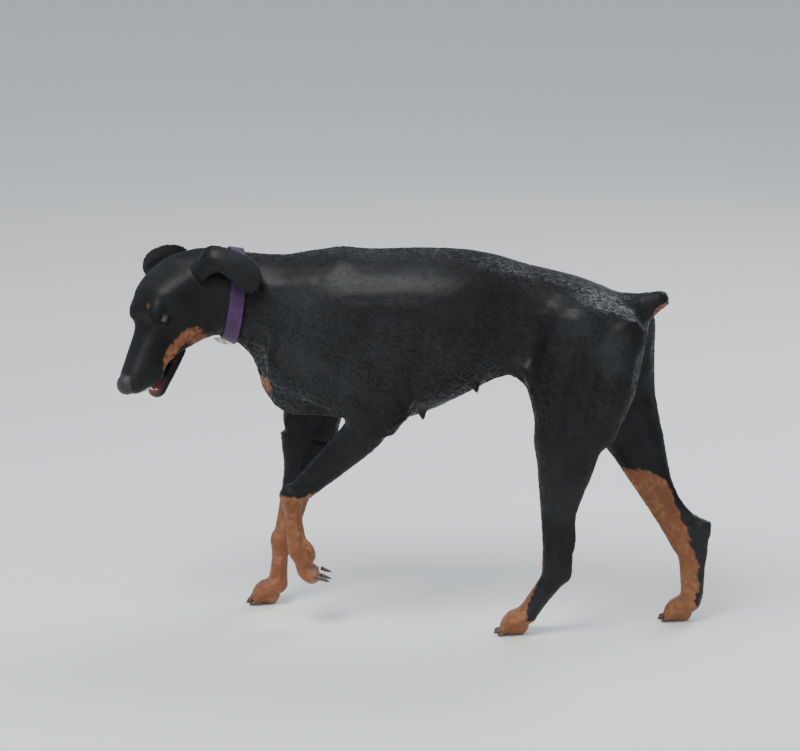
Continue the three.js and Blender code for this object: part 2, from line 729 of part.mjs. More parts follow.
function hindParts(name, leg, form, foot) {
  const knee = stifleCut(leg);
  const hock = hockCut(leg);
  const { side } = leg;
  const yLow = side < 0 ? -150 : 4 + GAP;
  const box = [[THIGH_FRONT, yLow, leg.stifle[2] - 70], [430, yLow + 146 - GAP, GROIN_HEIGHT + 25]];
  let upper = solidOf(melt(26, form, trunkWithNeck, flank), ...box, 19);
  upper = upper.trimByPlane([0, 0, -1], -(GROIN_HEIGHT - GAP / 2));
  addPart(`thigh_${name}`, keepPast(upper, knee[0], reversed(knee[1])), COAT);
  const frame = frameFrom(knee[0], knee[1], [0, 1, 0]);
  const length = vector(hock[0]).distanceTo(vector(knee[0]));
  const withFoot = melt(10, form, pastern(leg.hock, leg.knuckles, 16, 16));
  const lower = solidOf(withFoot, [-26, -95, -50], [length + 40, 95, 50], [20, 12, 12], frame);
  addPart(`shank_${name}`, keepPast(keepPast(lower, ...knee), hock[0], reversed(hock[1])), COAT);
  pawPart(`hindpaw_${name}`, form, leg, hock, leg.hock, foot, true);
}

// The head, in its own frame: forward along the muzzle, left, and up from the occiput
function headFrame() {
  const [yaw, pitch, roll] = [HEAD_YAW, HEAD_PITCH, HEAD_ROLL].map(radians);
  const flat = new THREE.Vector3(-Math.cos(yaw), -Math.sin(yaw), 0);
  const forward = flat.multiplyScalar(Math.cos(pitch)).setZ(-Math.sin(pitch));
  const level = new THREE.Vector3(Math.sin(yaw), -Math.cos(yaw), 0);
  const upright = new THREE.Vector3().crossVectors(forward, level);
  const left = level.clone().multiplyScalar(Math.cos(roll)).addScaledVector(upright, Math.sin(roll));
  const up = new THREE.Vector3().crossVectors(forward, left);
  return new THREE.Matrix4().makeBasis(forward, left, up).setPosition(...OCCIPUT);
}
const HEAD = headFrame();
const inHead = (xyz) => vector(xyz).applyMatrix4(HEAD).toArray();
const LEFTWARD = new THREE.Vector3().setFromMatrixColumn(HEAD, 1);

// Skull and upper muzzle cut across: [forward, top, bottom, half width, height of the widest place]
const SKULL_ROWS = [
  [-14, -70, -90, 20, -78],
  [0, -48, -108, 46, -74],
  [25, -27, -124, 57, -70],
  [55, -7, -130, 62, -62],
  [85, 5, -124, 60, -56],
  [108, 4, -104, 53, -58],
  [126, -2, -99, 45, -60],
  [142, -13, -95, 39, -62],
  [160, -19, -90, 36, -62],
  [190, -22, -87, 34, -60],
  [220, -24, -82, 31, -58],
  [243, -26, -76, 28, -54],
  [257, -30, -67, 23, -50],
  [266, -38, -57, 14, -48],
];
const JAW_ROWS = [
  [60, -84, -112, 36, -96],
  [110, -84, -112, 34, -98],
  [150, -82, -108, 28, -96],
  [190, -78, -103, 24, -92],
  [225, -74, -97, 21, -87],
  [243, -74, -91, 16, -83],
  [250, -78, -86, 8, -82],
];
const JAW_HINGE = [62, 0, -72];
const JAW = HEAD.clone()
  .multiply(new THREE.Matrix4().makeTranslation(...JAW_HINGE))
  .multiply(new THREE.Matrix4().makeRotationY(radians(JAW_OPEN)))
  .multiply(new THREE.Matrix4().makeTranslation(...reversed(JAW_HINGE)));

const HEAD_CELL = [12, 11.5, 11.5];
const inJaw = (xyz) => vector(xyz).applyMatrix4(JAW).toArray();
const mirrored = (make) => [-1, 1].map(make);
const brows = mirrored((s) => egg([122, s * 27, -14], [19, 14, 11], HEAD));
const cheeks = mirrored((s) => egg([72, s * 44, -62], [44, 18, 36], HEAD));
const lips = mirrored((s) =>
  limb(
    [
      [...inHead([152, s * 32, -84]), 9, 6],
      [...inHead([190, s * 31, -82]), 10, 6],
      [...inHead([228, s * 26, -74]), 9, 6],
    ],
    LEFTWARD,
  ),
);
const skull = melt(12, trunk(SKULL_ROWS, 2.5, HEAD), ...brows, ...cheeks, ...lips);
// Loose skin of the throat, from the corner of the jaw to the collar
const throat = limb([[-412, -20, 554, 28, 42], [-430, -34, 543, 30, 40], [-448, -52, 528, 26, 34]]);
const skullOnNeck = melt(28, skull, throat, limb(NECK_ROWS.slice(-4)));
const jaw = melt(10, trunk(JAW_ROWS, 2.3, JAW), egg([236, 0, -84], [14, 17, 10], JAW));

const eyes = mirrored((side) => ({
  name: side > 0 ? "left" : "right",
  side,
  place: inHead([EYE_PLACE[0], side * EYE_PLACE[1], EYE_PLACE[2]]),
}));
const ball = (place, radius) =>
  carved(new THREE.SphereGeometry(radius, 14, 8), new THREE.Matrix4().setPosition(...place));

// An eyelid: a rim that follows the almond opening on the ball of the eye
function lidRim({ side }) {
  const centre = vector([EYE_PLACE[0], side * EYE_PLACE[1], EYE_PLACE[2]]);
  const outward = vector([0.42, side * 0.8, 0.42]).normalize();
  const along = vector([0.86, -side * 0.48, 0.1]);
  along.addScaledVector(outward, -along.dot(outward)).normalize();
  const over = new THREE.Vector3().crossVectors(outward, along).multiplyScalar(-side);
  const points = [];
  for (let i = 0; i < 12; i++) {
    const a = (i / 12) * Math.PI * 2;
    const p = outward.clone().multiplyScalar(0.62);
    p.addScaledVector(along, Math.cos(a) * 0.92).addScaledVector(over, Math.sin(a) * 0.5);
    points.push(p.normalize().multiplyScalar(EYE_RADIUS + 1.2).add(centre));
  }
  return carved(hoop(new THREE.CatmullRomCurve3(points, true), 20, 2.1, 6), HEAD);
}

// A round tube along a closed curve
function hoop(path, steps, radius, sides) {
  const { normals, binormals } = path.computeFrenetFrames(steps, true);
  const positions = [];
  for (let i = 0; i < steps; i++) {
    const centre = path.getPointAt(i / steps);
    for (let j = 0; j < sides; j++) {
      const a = (j / sides) * Math.PI * 2;
      const p = centre.clone().addScaledVector(normals[i], Math.cos(a) * radius);
      positions.push(...p.addScaledVector(binormals[i], Math.sin(a) * radius).toArray());
    }
  }
  return new THREE.BufferGeometry()
    .setAttribute("position", new THREE.Float32BufferAttribute(positions, 3))
    .setIndex(ringIndex(steps, sides));
}

// Triangles between the rings of points of a closed ring of rings
function ringIndex(steps, sides) {
  const index = [];
  for (let i = 0; i < steps; i++)
    for (let j = 0; j < sides; j++) {
      const [n, m] = [(i + 1) % steps, (j + 1) % sides];
      const [a, b, c, d] = [i * sides + j, n * sides + j, n * sides + m, i * sides + m];
      index.push(a, b, c, a, c, d);
    }
  return index;
}

const shifted = (solid, by) => solid.translate(by);
const upward = new THREE.Vector3().setFromMatrixColumn(HEAD, 2);
const onward = new THREE.Vector3().setFromMatrixColumn(HEAD, 0);
const along = (axis, by) => axis.clone().multiplyScalar(by).toArray();

// A solid made a gap larger about a point inside it, for cutting clear of it
function grown(solid, centre, radius) {
  const k = 1 + (GAP * 1.3) / radius;
  const minus = centre.map((v) => -v);
  return solid.translate(minus).scale([k, k, k]).translate(centre);
}

// A pointed tooth in a frame, from its root along the frame's up axis
function tooth(frame, [x, y, z], length, radius, lean) {
  const profile = [[0, -5], [radius, -5], [radius, 0], [radius * 0.6, length * 0.6], [0, length]];
  const cone = new THREE.LatheGeometry(profile.map(([r, h]) => new THREE.Vector2(r, h)), 6);
  const stand = new THREE.Matrix4().makeRotationX(Math.PI / 2);
  const tilt = new THREE.Matrix4().makeRotationY(lean);
  const place = new THREE.Matrix4().makeTranslation(x, y, z);
  return carved(cone, frame.clone().multiply(place).multiply(tilt).multiply(stand));
}

// A thin flap through rows of [upper edge, lower edge], bulged outward, as one closed sheet
function flap(edges, out, { thick, bulge, across, steps }) {
  const rows = smoothRows(edges.map(([a, b]) => [...a, ...b]), steps);
  const outward = vector(out).normalize();
  const grid = rows.map((row, i) =>
    Array.from({ length: across + 1 }, (_, j) => {
      const t = j / across;
      const swell = Math.sin(Math.PI * t) * bulge * Math.min(1, 0.35 + (rows.length - i) / rows.length);
      return vector(between(row.slice(0, 3), row.slice(3), t)).addScaledVector(outward, swell);
    }),
  );
  const [n, m] = [rows.length, across + 1];
  const index = [];
  const at = (i, j, face) => face * n * m + i * m + j;
  const down = grid[0][m - 1].clone().sub(grid[0][0]);
  const facesOut = grid[n - 1][0].clone().sub(grid[0][0]).cross(down).dot(outward) > 0;
  if (!facesOut) grid.forEach((row) => row.reverse());
  const positions = [];
  for (const face of [1, -1])
    grid.forEach((row, i) =>
      row.forEach((p, j) => {
        const edge = Math.min(i, n - 1 - i, 2) * Math.min(j, m - 1 - j, 2) === 0 ? 0.45 : 1;
        positions.push(...p.clone().addScaledVector(outward, (face * thick * edge) / 2).toArray());
      }),
    );
  for (let i = 0; i < n - 1; i++)
    for (let j = 0; j < m - 1; j++) {
      const [a, b, c, d] = [[i, j], [i + 1, j], [i + 1, j + 1], [i, j + 1]];
      index.push(at(...a, 0), at(...b, 0), at(...c, 0), at(...a, 0), at(...c, 0), at(...d, 0));
      index.push(at(...a, 1), at(...c, 1), at(...b, 1), at(...a, 1), at(...d, 1), at(...c, 1));
    }
  const border = [];
  for (let j = 0; j < m - 1; j++) border.push([0, j]);
  for (let i = 0; i < n - 1; i++) border.push([i, m - 1]);
  for (let j = m - 1; j > 0; j--) border.push([n - 1, j]);
  for (let i = n - 1; i > 0; i--) border.push([i, 0]);
  border.forEach((a, k) => {
    const b = border[(k + 1) % border.length];
    index.push(at(...a, 0), at(...b, 0), at(...b, 1), at(...a, 0), at(...b, 1), at(...a, 1));
  });
  const sheet = new THREE.BufferGeometry();
  sheet.setAttribute("position", new THREE.Float32BufferAttribute(positions, 3)).setIndex(index);
  return carved(sheet);
}

// The left ear is laid back along the neck, its front edge folded up; [upper edge, lower edge]
const LEFT_EAR = [
  [[-440, -56, 648], [-430, -62, 618]],
  [[-422, -70, 664], [-412, -84, 624]],
  [[-406, -76, 688], [-392, -94, 642]],
  [[-384, -77, 692], [-375, -97, 646]],
  [[-357, -76, 686], [-358, -98, 634]],
  [[-329, -76, 675], [-338, -96, 615]],
  [[-309, -78, 655], [-322, -90, 609]],
  [[-302, -80, 634], [-308, -84, 614]],
];
// The right ear lies back over the far side of the skull; in the head's frame
const RIGHT_EAR = [
  [[34, -44, -30], [52, -48, -42]],
  [[35, -58, -12], [52, -62, -40]],
  [[14, -66, -16], [40, -76, -50]],
  [[-6, -70, -31], [20, -84, -64]],
  [[-24, -72, -53], [2, -88, -82]],
  [[-36, -74, -79], [-14, -88, -98]],
  [[-40, -76, -103], [-30, -82, -110]],
].map((edges) => edges.map(inHead));

function headParts() {
  let head = solidOf(skullOnNeck, [-85, -80, -155], [280, 110, 22], HEAD_CELL, HEAD);
  head = keepPast(head, HEAD_BASE[0], reversed(HEAD_BASE[1]));
  const noseForm = melt(8, egg([257, 0, -40], [16, 19, 15], HEAD), egg([251, 0, -34], [16, 16, 12], HEAD));
  let nose = solidOf(noseForm, [238, -24, -62], [280, 24, -16], 7, HEAD);
  for (const eye of eyes) head = head.add(lidRim(eye));
  for (const eye of eyes) head = head.subtract(ball(eye.place, EYE_RADIUS + GAP * 3));
  const palate = new THREE.Matrix4().makeScale(46, 17, 13).setPosition(212, 0, -88);
  head = head.subtract(carved(new THREE.SphereGeometry(1, 12, 8), HEAD.clone().multiply(palate)));
  head = head.subtract(grown(nose, inHead([257, 0, -40]), 16));
  for (const s of [-1, 1]) {
    const hole = new THREE.Matrix4().makeScale(9, 4, 3.4).setPosition(270, s * 9, -43);
    nose = nose.subtract(carved(new THREE.SphereGeometry(1, 8, 6), HEAD.clone().multiply(hole)));
    head = head.add(tooth(HEAD, [240, s * 15, -76], -13, 3, -0.12));
  }
  head = largest(head);
  let lower = solidOf(jaw, [150, -34, -122], [258, 34, -68], 9, JAW);
  for (const by of [along(upward, -GAP), along(onward, GAP), [0, 0, 0]]) {
    lower = lower.subtract(shifted(head, by));
  }
  for (const s of [-1, 1]) lower = lower.add(tooth(JAW, [236, s * 11, -80], 14, 2.6, 0.15));
  lower = largest(lower);
  const tongueForm = limb(
    [
      [...inJaw([170, 0, -78]), 5, 14],
      [...inJaw([205, 0, -74]), 5, 15],
      [...inJaw([232, 0, -74]), 4, 12],
    ],
    LEFTWARD,
  );
  let tongue = solidOf(tongueForm, [150, -22, -92], [250, 22, -60], 8, JAW);
  for (const near of [head, lower])
    for (const by of [along(upward, -GAP), along(upward, GAP), along(onward, GAP), along(onward, -GAP)])
      tongue = tongue.subtract(shifted(near, by));
  addPart("head", head, COAT);
  addPart("nose", nose, NOSE_LEATHER);
  addPart("jaw", lower, COAT);
  addPart("tongue", tongue, TONGUE_PINK);
  for (const eye of eyes) addPart(`eye_${eye.name}`, ball(eye.place, EYE_RADIUS), WET);
  const ears = {
    left: flap(LEFT_EAR, [-0.15, -0.9, 0.4], { thick: 4, bulge: 9, across: 4, steps: 2 }),
    right: flap(RIGHT_EAR, along(LEFTWARD, -1), { thick: 4, bulge: 7, across: 4, steps: 2 }),
  };
  const headCore = inHead([60, 0, -55]);
  const skullRoom = grown(head, headCore, 60);
  for (const [name, ear] of Object.entries(ears)) addPart(`ear_${name}`, ear.subtract(skullRoom), COAT);
}

// The neck between the head and the chest, and the collar round it behind the jaw
function neckParts() {
  const flesh = melt(28, melt(26, trunkWithNeck, shoulders.left, shoulders.right), throat, skull);
  let solid = solidOf(flesh, [-440, -130, 440], [-210, 120, 700], 20);
  solid = keepPast(keepPast(solid, ...HEAD_BASE), NECK_BASE[0], reversed(NECK_BASE[1]));
  addPart("neck", solid, COAT);
  const collar = collarSolids(flesh);
  addPart("collar_band", collar.band, NYLON);
  addPart("collar_buckle", collar.keeper, PLATED);
  addPart("collar_ring", collar.ring, PLATED);
}

// The collar: a band that follows the neck, a metal keeper under the throat and a ring below it
const COLLAR_CLEARANCE = 3;
const KEEPER_LIFT = 2.4;
const COLLAR_CENTRE = [-374, -8, 594];
const COLLAR_AXIS = vector([-0.93, -0.33, 0.12]).normalize();
function collarSolids(flesh) {
  const top = new THREE.Vector3(0, 0, 1).addScaledVector(COLLAR_AXIS, -COLLAR_AXIS.z).normalize();
  const side = new THREE.Vector3().crossVectors(COLLAR_AXIS, top);
  const at = (angle, forward, off) => {
    const start = vector(COLLAR_CENTRE).addScaledVector(COLLAR_AXIS, forward);
    const ray = top.clone().multiplyScalar(Math.cos(angle)).addScaledVector(side, Math.sin(angle));
    let [near, far] = [20, 140];
    for (let i = 0; i < 18; i++) {
      const middle = (near + far) / 2;
      if (flesh(start.clone().addScaledVector(ray, middle)) < 0) near = middle;
      else far = middle;
    }
    return start.addScaledVector(ray, near + off);
  };
  const STEPS = 36;
  const inner = COLLAR_CLEARANCE;
  const outer = COLLAR_CLEARANCE + COLLAR_THICK;
  const positions = [];
  for (let i = 0; i < STEPS; i++)
    for (const [share, off] of [[-0.5, outer], [0.5, outer], [0.5, inner], [-0.5, inner]])
      positions.push(...at((i / STEPS) * Math.PI * 2, share * COLLAR_WIDTH, off).toArray());
  const band = new THREE.BufferGeometry()
    .setAttribute("position", new THREE.Float32BufferAttribute(positions, 3))
    .setIndex(ringIndex(STEPS, 4));
  const [rear, front] = [-0.5, 0.5].map((share) => at(Math.PI, share * COLLAR_WIDTH, outer));
  const along = front.clone().sub(rear).normalize();
  const out = top.clone().negate().addScaledVector(along, top.dot(along)).normalize();
  const seat = front.clone().add(rear).multiplyScalar(0.5).addScaledVector(out, KEEPER_LIFT);
  const basis = frameFrom(seat.toArray(), along.toArray(), out.toArray());
  const keeper = new THREE.BoxGeometry(COLLAR_WIDTH + 3, 9, 3);
  const ring = new THREE.TorusGeometry(12, 1.8, 6, 16);
  const below = new THREE.Matrix4().makeTranslation(9, 0, 1.5 + 1.8 + GAP);
  return {
    band: carved(band),
    keeper: carved(keeper, basis),
    ring: carved(ring, basis.clone().multiply(below)),
  };
}

trunkParts();
const foreForms = {
  left: melt(14, shoulders.left, forearms.left),
  right: melt(14, shoulders.right, forearms.right),
};
foreParts("left", LEFT_FORE, foreForms.left, leftElbow, LEFT_BLOCK, paws.fore_left);
foreParts("right", RIGHT_FORE, foreForms.right, rightElbow, RIGHT_BLOCK, paws.fore_right);
hindParts("left", LEFT_HIND, melt(16, thighs.left, shanks.left), paws.hind_left);
hindParts("right", RIGHT_HIND, melt(16, thighs.right, shanks.right), paws.hind_right);
headParts();
neckParts();

// The origin is the middle of the whole dog's footprint, on the floor
const bounds = new THREE.Box3().setFromObject(dog);
const middle = bounds.getCenter(new THREE.Vector3());
for (const part of dog.children) part.geometry.translate(-middle.x, -middle.y, -bounds.min.z);

export default dog;
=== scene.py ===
"""A doberman pinscher bitch, black and rust, walking with a foreleg lifted and her head turned."""

import math

import bpy
import numpy as np
from mathutils import Matrix, Vector


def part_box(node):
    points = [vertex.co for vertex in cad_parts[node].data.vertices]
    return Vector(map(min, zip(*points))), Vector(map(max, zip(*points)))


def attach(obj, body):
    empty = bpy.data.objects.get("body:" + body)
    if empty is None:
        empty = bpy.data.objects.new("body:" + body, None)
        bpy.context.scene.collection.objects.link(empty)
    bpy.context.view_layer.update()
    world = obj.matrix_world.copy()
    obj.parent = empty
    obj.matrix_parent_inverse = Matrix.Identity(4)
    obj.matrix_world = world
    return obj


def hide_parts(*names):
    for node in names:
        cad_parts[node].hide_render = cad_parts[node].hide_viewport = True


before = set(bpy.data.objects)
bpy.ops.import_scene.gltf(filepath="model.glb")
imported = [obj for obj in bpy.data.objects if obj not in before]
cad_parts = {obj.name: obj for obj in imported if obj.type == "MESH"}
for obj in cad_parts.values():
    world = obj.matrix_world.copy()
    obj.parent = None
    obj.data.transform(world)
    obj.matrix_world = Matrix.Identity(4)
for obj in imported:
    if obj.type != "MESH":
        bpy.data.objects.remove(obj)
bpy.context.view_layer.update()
scene = bpy.context.scene
dice = np.random.default_rng(7)  # every random draw comes from here, in this order

# The camera stands on the dog's left, a little behind square to her and a little above her,
# about five metres off, with a moderate telephoto view. The picture is 800 by 751.
CAMERA_AZIMUTH = 9.0
CAMERA_ELEVATION = 14.0
CAMERA_DISTANCE = 5.2
FOCAL = 2915.0  # pixels
AIM = Vector((0.0, 0.0, 0.36))
AIM_PIXEL = (440.0, 426.0)
PICTURE = (800, 751)
SENSOR = 36.0  # millimetres across

# The head's own frame, in the dog's millimetres: forward, left and up from the back of the skull
HEAD_YAW, HEAD_PITCH, HEAD_ROLL = 60.0, 55.0, 9.0
OCCIPUT = Vector((-0.483, -0.043, 0.682))
EYE_IN_HEAD = (124.5, 34.6, -30.5)


def head_frame():
    yaw, pitch, roll = (math.radians(a) for a in (HEAD_YAW, HEAD_PITCH, HEAD_ROLL))
    ahead = math.cos(pitch)
    forward = Vector((-ahead * math.cos(yaw), -ahead * math.sin(yaw), -math.sin(pitch)))
    level = Vector((math.sin(yaw), -math.cos(yaw), 0))
    left = level * math.cos(roll) + forward.cross(level) * math.sin(roll)
    m = Matrix((forward, left, forward.cross(left))).transposed().to_4x4()
    m.translation = OCCIPUT
    return m


def middle_of(node):
    low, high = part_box(node)
    return (low + high) / 2


# The dog's own coordinates have the withers over x = -0.2; the frame's origin is under her middle
HEAD = head_frame()
SHIFT = middle_of("eye_left") - HEAD @ (Vector(EYE_IN_HEAD) / 1000)
SHIFT.z = 0
HEAD.translation += SHIFT


def here(x, y, z):
    """A point in the dog's own millimetres, in the frame's metres."""
    return Vector((x, y, z)) / 1000 + SHIFT


def in_head(s, l, z):
    return HEAD @ (Vector((s, l, z)) / 1000)


azimuth, elevation = math.radians(CAMERA_AZIMUTH), math.radians(CAMERA_ELEVATION)
back = Vector(
    (
        math.sin(azimuth) * math.cos(elevation),
        -math.cos(azimuth) * math.cos(elevation),
        math.sin(elevation),
    )
)
right = (-back).cross(Vector((0, 0, 1))).normalized()
above = right.cross(-back)
lens = bpy.data.cameras.new("camera")
lens.sensor_width = SENSOR
lens.lens = FOCAL * SENSOR / PICTURE[0]
lens.clip_start, lens.clip_end = 0.1, 60
camera = bpy.data.objects.new("camera", lens)
aside = (AIM_PIXEL[0] - PICTURE[0] / 2) / FOCAL * CAMERA_DISTANCE
lower = (AIM_PIXEL[1] - PICTURE[1] / 2) / FOCAL * CAMERA_DISTANCE
camera.location = AIM + SHIFT + back * CAMERA_DISTANCE - right * aside + above * lower
camera.rotation_mode = "QUATERNION"
camera.rotation_quaternion = Matrix((right, above, back)).transposed().to_quaternion()
scene.collection.objects.link(camera)
scene.camera = camera

# The stage: a pale seamless floor, a large soft light above her, a weaker one from the camera's
# side and a bright even sky.
world = bpy.data.worlds.new("sky")
world.use_nodes = True
world.node_tree.nodes["Background"].inputs[0].default_value = (0.80, 0.87, 1.0, 1)
world.node_tree.nodes["Background"].inputs[1].default_value = 0.70
scene.world = world


def area_light(name, place, target, width, watts, colour):
    data = bpy.data.lights.new(name, "AREA")
    data.shape = "DISK"
    data.size = width
    data.energy = watts
    data.color = colour
    lamp = bpy.data.objects.new(name, data)
    lamp.location = place
    lamp.rotation_mode = "QUATERNION"
    lamp.rotation_quaternion = (Vector(target) - Vector(place)).to_track_quat("-Z", "Y")
    scene.collection.objects.link(lamp)


area_light("key", (-1.2, -2.0, 4.2), (0, 0, 0.4), 2.2, 190, (1.0, 0.97, 0.92))
area_light("rim", (1.6, 2.2, 3.2), (0, 0, 0.5), 2.0, 90, (0.92, 0.96, 1.0))
area_light("fill", (0.4, -4.4, 1.2), (0, 0, 0.4), 2.5, 26, (1.0, 1.0, 1.0))

floor_mesh = bpy.data.meshes.new("floor")
floor_mesh.from_pydata([(-14, -14, 0), (14, -14, 0), (14, 14, 0), (-14, 14, 0)], [], [(0, 1, 2, 3)])
floor = bpy.data.objects.new("floor", floor_mesh)
scene.collection.objects.link(floor)
floor_finish = bpy.data.materials.new("floor")
floor_finish.use_nodes = True
floor_shader = floor_finish.node_tree.nodes["Principled BSDF"]
floor_shader.inputs["Base Color"].default_value = (0.78, 0.78, 0.75, 1)
floor_shader.inputs["Roughness"].default_value = 0.9
floor_mesh.materials.append(floor_finish)


# The skin: one hide over head, trunk and legs, drawn from the solids of the flesh and smoothed,
# with the swell of the muscles under it. It lies inside the solids by the depth of the coat.
SKIN_CELL = 0.0024
COAT_DEPTH = 0.0011
SEAM = 0.0003  # the cuts between the solids, closed before the skin is drawn
SMOOTHING = 26  # rounds
SOLE_GAP = 0.0004  # between the skin and the floor
FLESH = [
    "head", "jaw", "neck", "chest", "loin", "rump", "tail", "ear_left", "ear_right",
    "forearm_left", "forepaw_left", "forearm_right", "forepaw_right",
    "thigh_left", "shank_left", "hindpaw_left", "thigh_right", "shank_right", "hindpaw_right",
]


def new_object(name, verts, faces, smooth=True):
    mesh = bpy.data.meshes.new(name)
    mesh.from_pydata([tuple(v) for v in verts], [], [tuple(f) for f in faces])
    if smooth:
        mesh.polygons.foreach_set("use_smooth", [True] * len(mesh.polygons))
    mesh.update()
    made = bpy.data.objects.new(name, mesh)
    scene.collection.objects.link(made)
    return made


def corner_array(mesh):
    co = np.empty(len(mesh.vertices) * 3)
    mesh.vertices.foreach_get("co", co)
    return co.reshape(-1, 3)


def normal_array(mesh):
    normals = np.empty(len(mesh.vertices) * 3)
    mesh.vertices.foreach_get("normal", normals)
    return normals.reshape(-1, 3)


def remeshed(name, nodes, cell, swell=0.0):
    """One closed surface round these CAD nodes, in cells of that size."""
    verts, faces, start = [], [], 0
    for node in nodes:
        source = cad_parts[node].data
        verts.append(corner_array(source) + normal_array(source) * swell)
        faces += [[start + v for v in p.vertices] for p in source.polygons]
        start += len(source.vertices)
    made = new_object(name, np.concatenate(verts), faces)
    remesh = made.modifiers.new("remesh", "REMESH")
    remesh.mode = "VOXEL"
    remesh.voxel_size = cell
    remesh.use_smooth_shade = True
    graph = bpy.context.evaluated_depsgraph_get()
    result = bpy.data.meshes.new_from_object(made.evaluated_get(graph))
    made.modifiers.clear()
    made.data = result
    return made


def edge_array(mesh):
    edges = np.empty(len(mesh.edges) * 2, int)
    mesh.edges.foreach_get("vertices", edges)
    return edges.reshape(-1, 2)


def averaged(co, edges, rounds, weight):
    """Points drawn half way to the mean of their neighbours, that many times."""
    a, b = edges[:, 0], edges[:, 1]
    count = np.bincount(a, minlength=len(co)) + np.bincount(b, minlength=len(co))
    count = np.maximum(count, 1)[:, None]
    for _ in range(rounds):
        sums = [np.bincount(a, co[b, i], len(co)) + np.bincount(b, co[a, i], len(co)) for i in range(3)]
        co = co + (np.stack(sums, axis=1) / count - co) * (weight * 0.5)
    return co


def relaxed(co, edges, rounds, weight):
    """Points smoothed without losing the broad form: what one pass takes away, a second gives back."""
    once = averaged(co, edges, rounds, weight)
    return 2 * once - averaged(once, edges, rounds, weight)


def smoothstep(low, high, value):
    t = np.clip((value - low) / (high - low), 0, 1)
    return t * t * (3 - 2 * t)


def to_dog(co):
    """Points of the frame in the dog's own millimetres."""
    return (co - np.array(SHIFT)) * 1000


def to_head(co):
    inverse = np.array(HEAD.inverted())
    return (co @ inverse[:3, :3].T + inverse[:3, 3]) * 1000


def segment_distance(points, a, b):
    a, b = np.array(a, float), np.array(b, float)
    along = b - a
    t = np.clip((points - a) @ along / (along @ along), 0, 1)
    return np.linalg.norm(points - a - t[:, None] * along, axis=1), t


skin = remeshed("skin", FLESH + ["nose"], SKIN_CELL, SEAM)
co = corner_array(skin.data)
edges = edge_array(skin.data)
p, q = to_dog(co), to_head(co)

# How far each place is smoothed: most on the trunk, little on the feet, the face and the ears
LIFTED_FOOT = ((-250, -80, 235), (-205, -74, 78))
LIFTED_ARM = ((-110, -91, 385), (-256, -82, 243))
head_part = smoothstep(-25, 20, q[:, 0]) * smoothstep(-350, -400, p[:, 0])
softness = np.interp(p[:, 2], (0, 70, 120, 260, 400, 480), (0.10, 0.13, 0.22, 0.32, 0.6, 1.0))
softness = np.minimum(softness, 1 - 0.6 * head_part)
softness = np.minimum(softness, 0.12 + smoothstep(34, 60, segment_distance(p, *LIFTED_FOOT)[0]))
softness = np.minimum(softness, 0.35 + smoothstep(45, 70, segment_distance(p, *LIFTED_ARM)[0]))


def ear_share(points):
    """Where the flaps of the two ears are: 1 on them and 0 elsewhere."""
    p, q = to_dog(points), to_head(points)
    near = smoothstep(-60, -70, p[:, 1]) * smoothstep(-445, -432, p[:, 0])
    near *= smoothstep(600, 612, p[:, 2]) * smoothstep(-286, -296, p[:, 0])
    far = smoothstep(-56, -64, q[:, 1]) * smoothstep(60, 50, q[:, 0]) * smoothstep(-380, -400, p[:, 0])
    return np.maximum(near, far)


on_ear = ear_share(co)
on_tail = smoothstep(340, 356, p[:, 0]) * smoothstep(570, 580, p[:, 2])
softness = softness * (1 - 0.88 * on_ear) * (1 - 0.7 * on_tail)
co = relaxed(co, edges, SMOOTHING, softness[:, None])
skin.data.vertices.foreach_set("co", co.ravel())
skin.data.update()
normals = normal_array(skin.data)

# Swells and hollows of the muscles: from, to, radius and height in the dog's millimetres.
# Each is on the side of the body that its y says.
SWELLS = [
    ((-230, -78, 560), (-262, -90, 480), 26, 3.2),  # front of the shoulder
    ((-150, -96, 470), (-105, -104, 425), 30, 4.5),  # triceps
    ((-215, -92, 470), (-150, -104, 430), 22, 3.0),
    ((-190, -100, 540), (-170, -104, 500), 30, 2.0),
    ((-212, -80, 600), (-245, -92, 500), 9, -3.0),  # groove before the blade
    ((-128, -88, 600), (-120, -108, 470), 14, -2.4),  # groove behind the blade
    ((-175, -104, 455), (-130, -108, 410), 7, -2.6),
    ((-330, -70, 590), (-250, -86, 520), 16, 2.0),  # neck to shoulder
    ((-330, -66, 560), (-262, -80, 480), 9, -2.2),
    ((-300, -60, 620), (-220, -66, 628), 14, 1.5),
    ((-290, -40, 480), (-300, -10, 430), 20, 3.0),  # breast
    ((110, -90, 520), (188, -92, 470), 14, 2.8),  # fold of the flank
    ((60, -98, 545), (150, -92, 560), 30, -2.6),
    ((196, -104, 520), (206, -108, 420), 24, 2.8),  # front of the thigh
    ((250, -108, 520), (236, -112, 400), 9, -3.0),
    ((300, -100, 520), (268, -104, 400), 24, 2.6),
    ((206, -108, 370), (212, -106, 345), 14, 3.0),  # kneecap
    ((268, -90, 330), (246, -80, 240), 10, 2.4),
    ((238, -88, 300), (232, -78, 200), 6, -2.2),
    ((230, -66, 560), (300, -70, 585), 20, 2.0),
    ((-100, -108, 380), (-180, -100, 310), 9, 2.4),  # forearm
    ((-130, -106, 390), (-200, -98, 290), 5, -1.8),
]
SWELL = 1.2
RIB_LINES = 5
RIB_STEP = 26
RIB_HEIGHT = 0.9e-3
RIB_WIDTH = 7
for start_, end_, radius, height in SWELLS:
    for side in (1, -1):
        if side < 0 and start_[2] < 400 and start_[0] < 0:
            continue
        a = np.array(start_, float) * (1, side, 1)
        b = np.array(end_, float) * (1, side, 1)
        away, _ = segment_distance(p, a, b)
        co += normals * (SWELL * height / 1000 * np.exp(-((away / radius) ** 2)))[:, None]
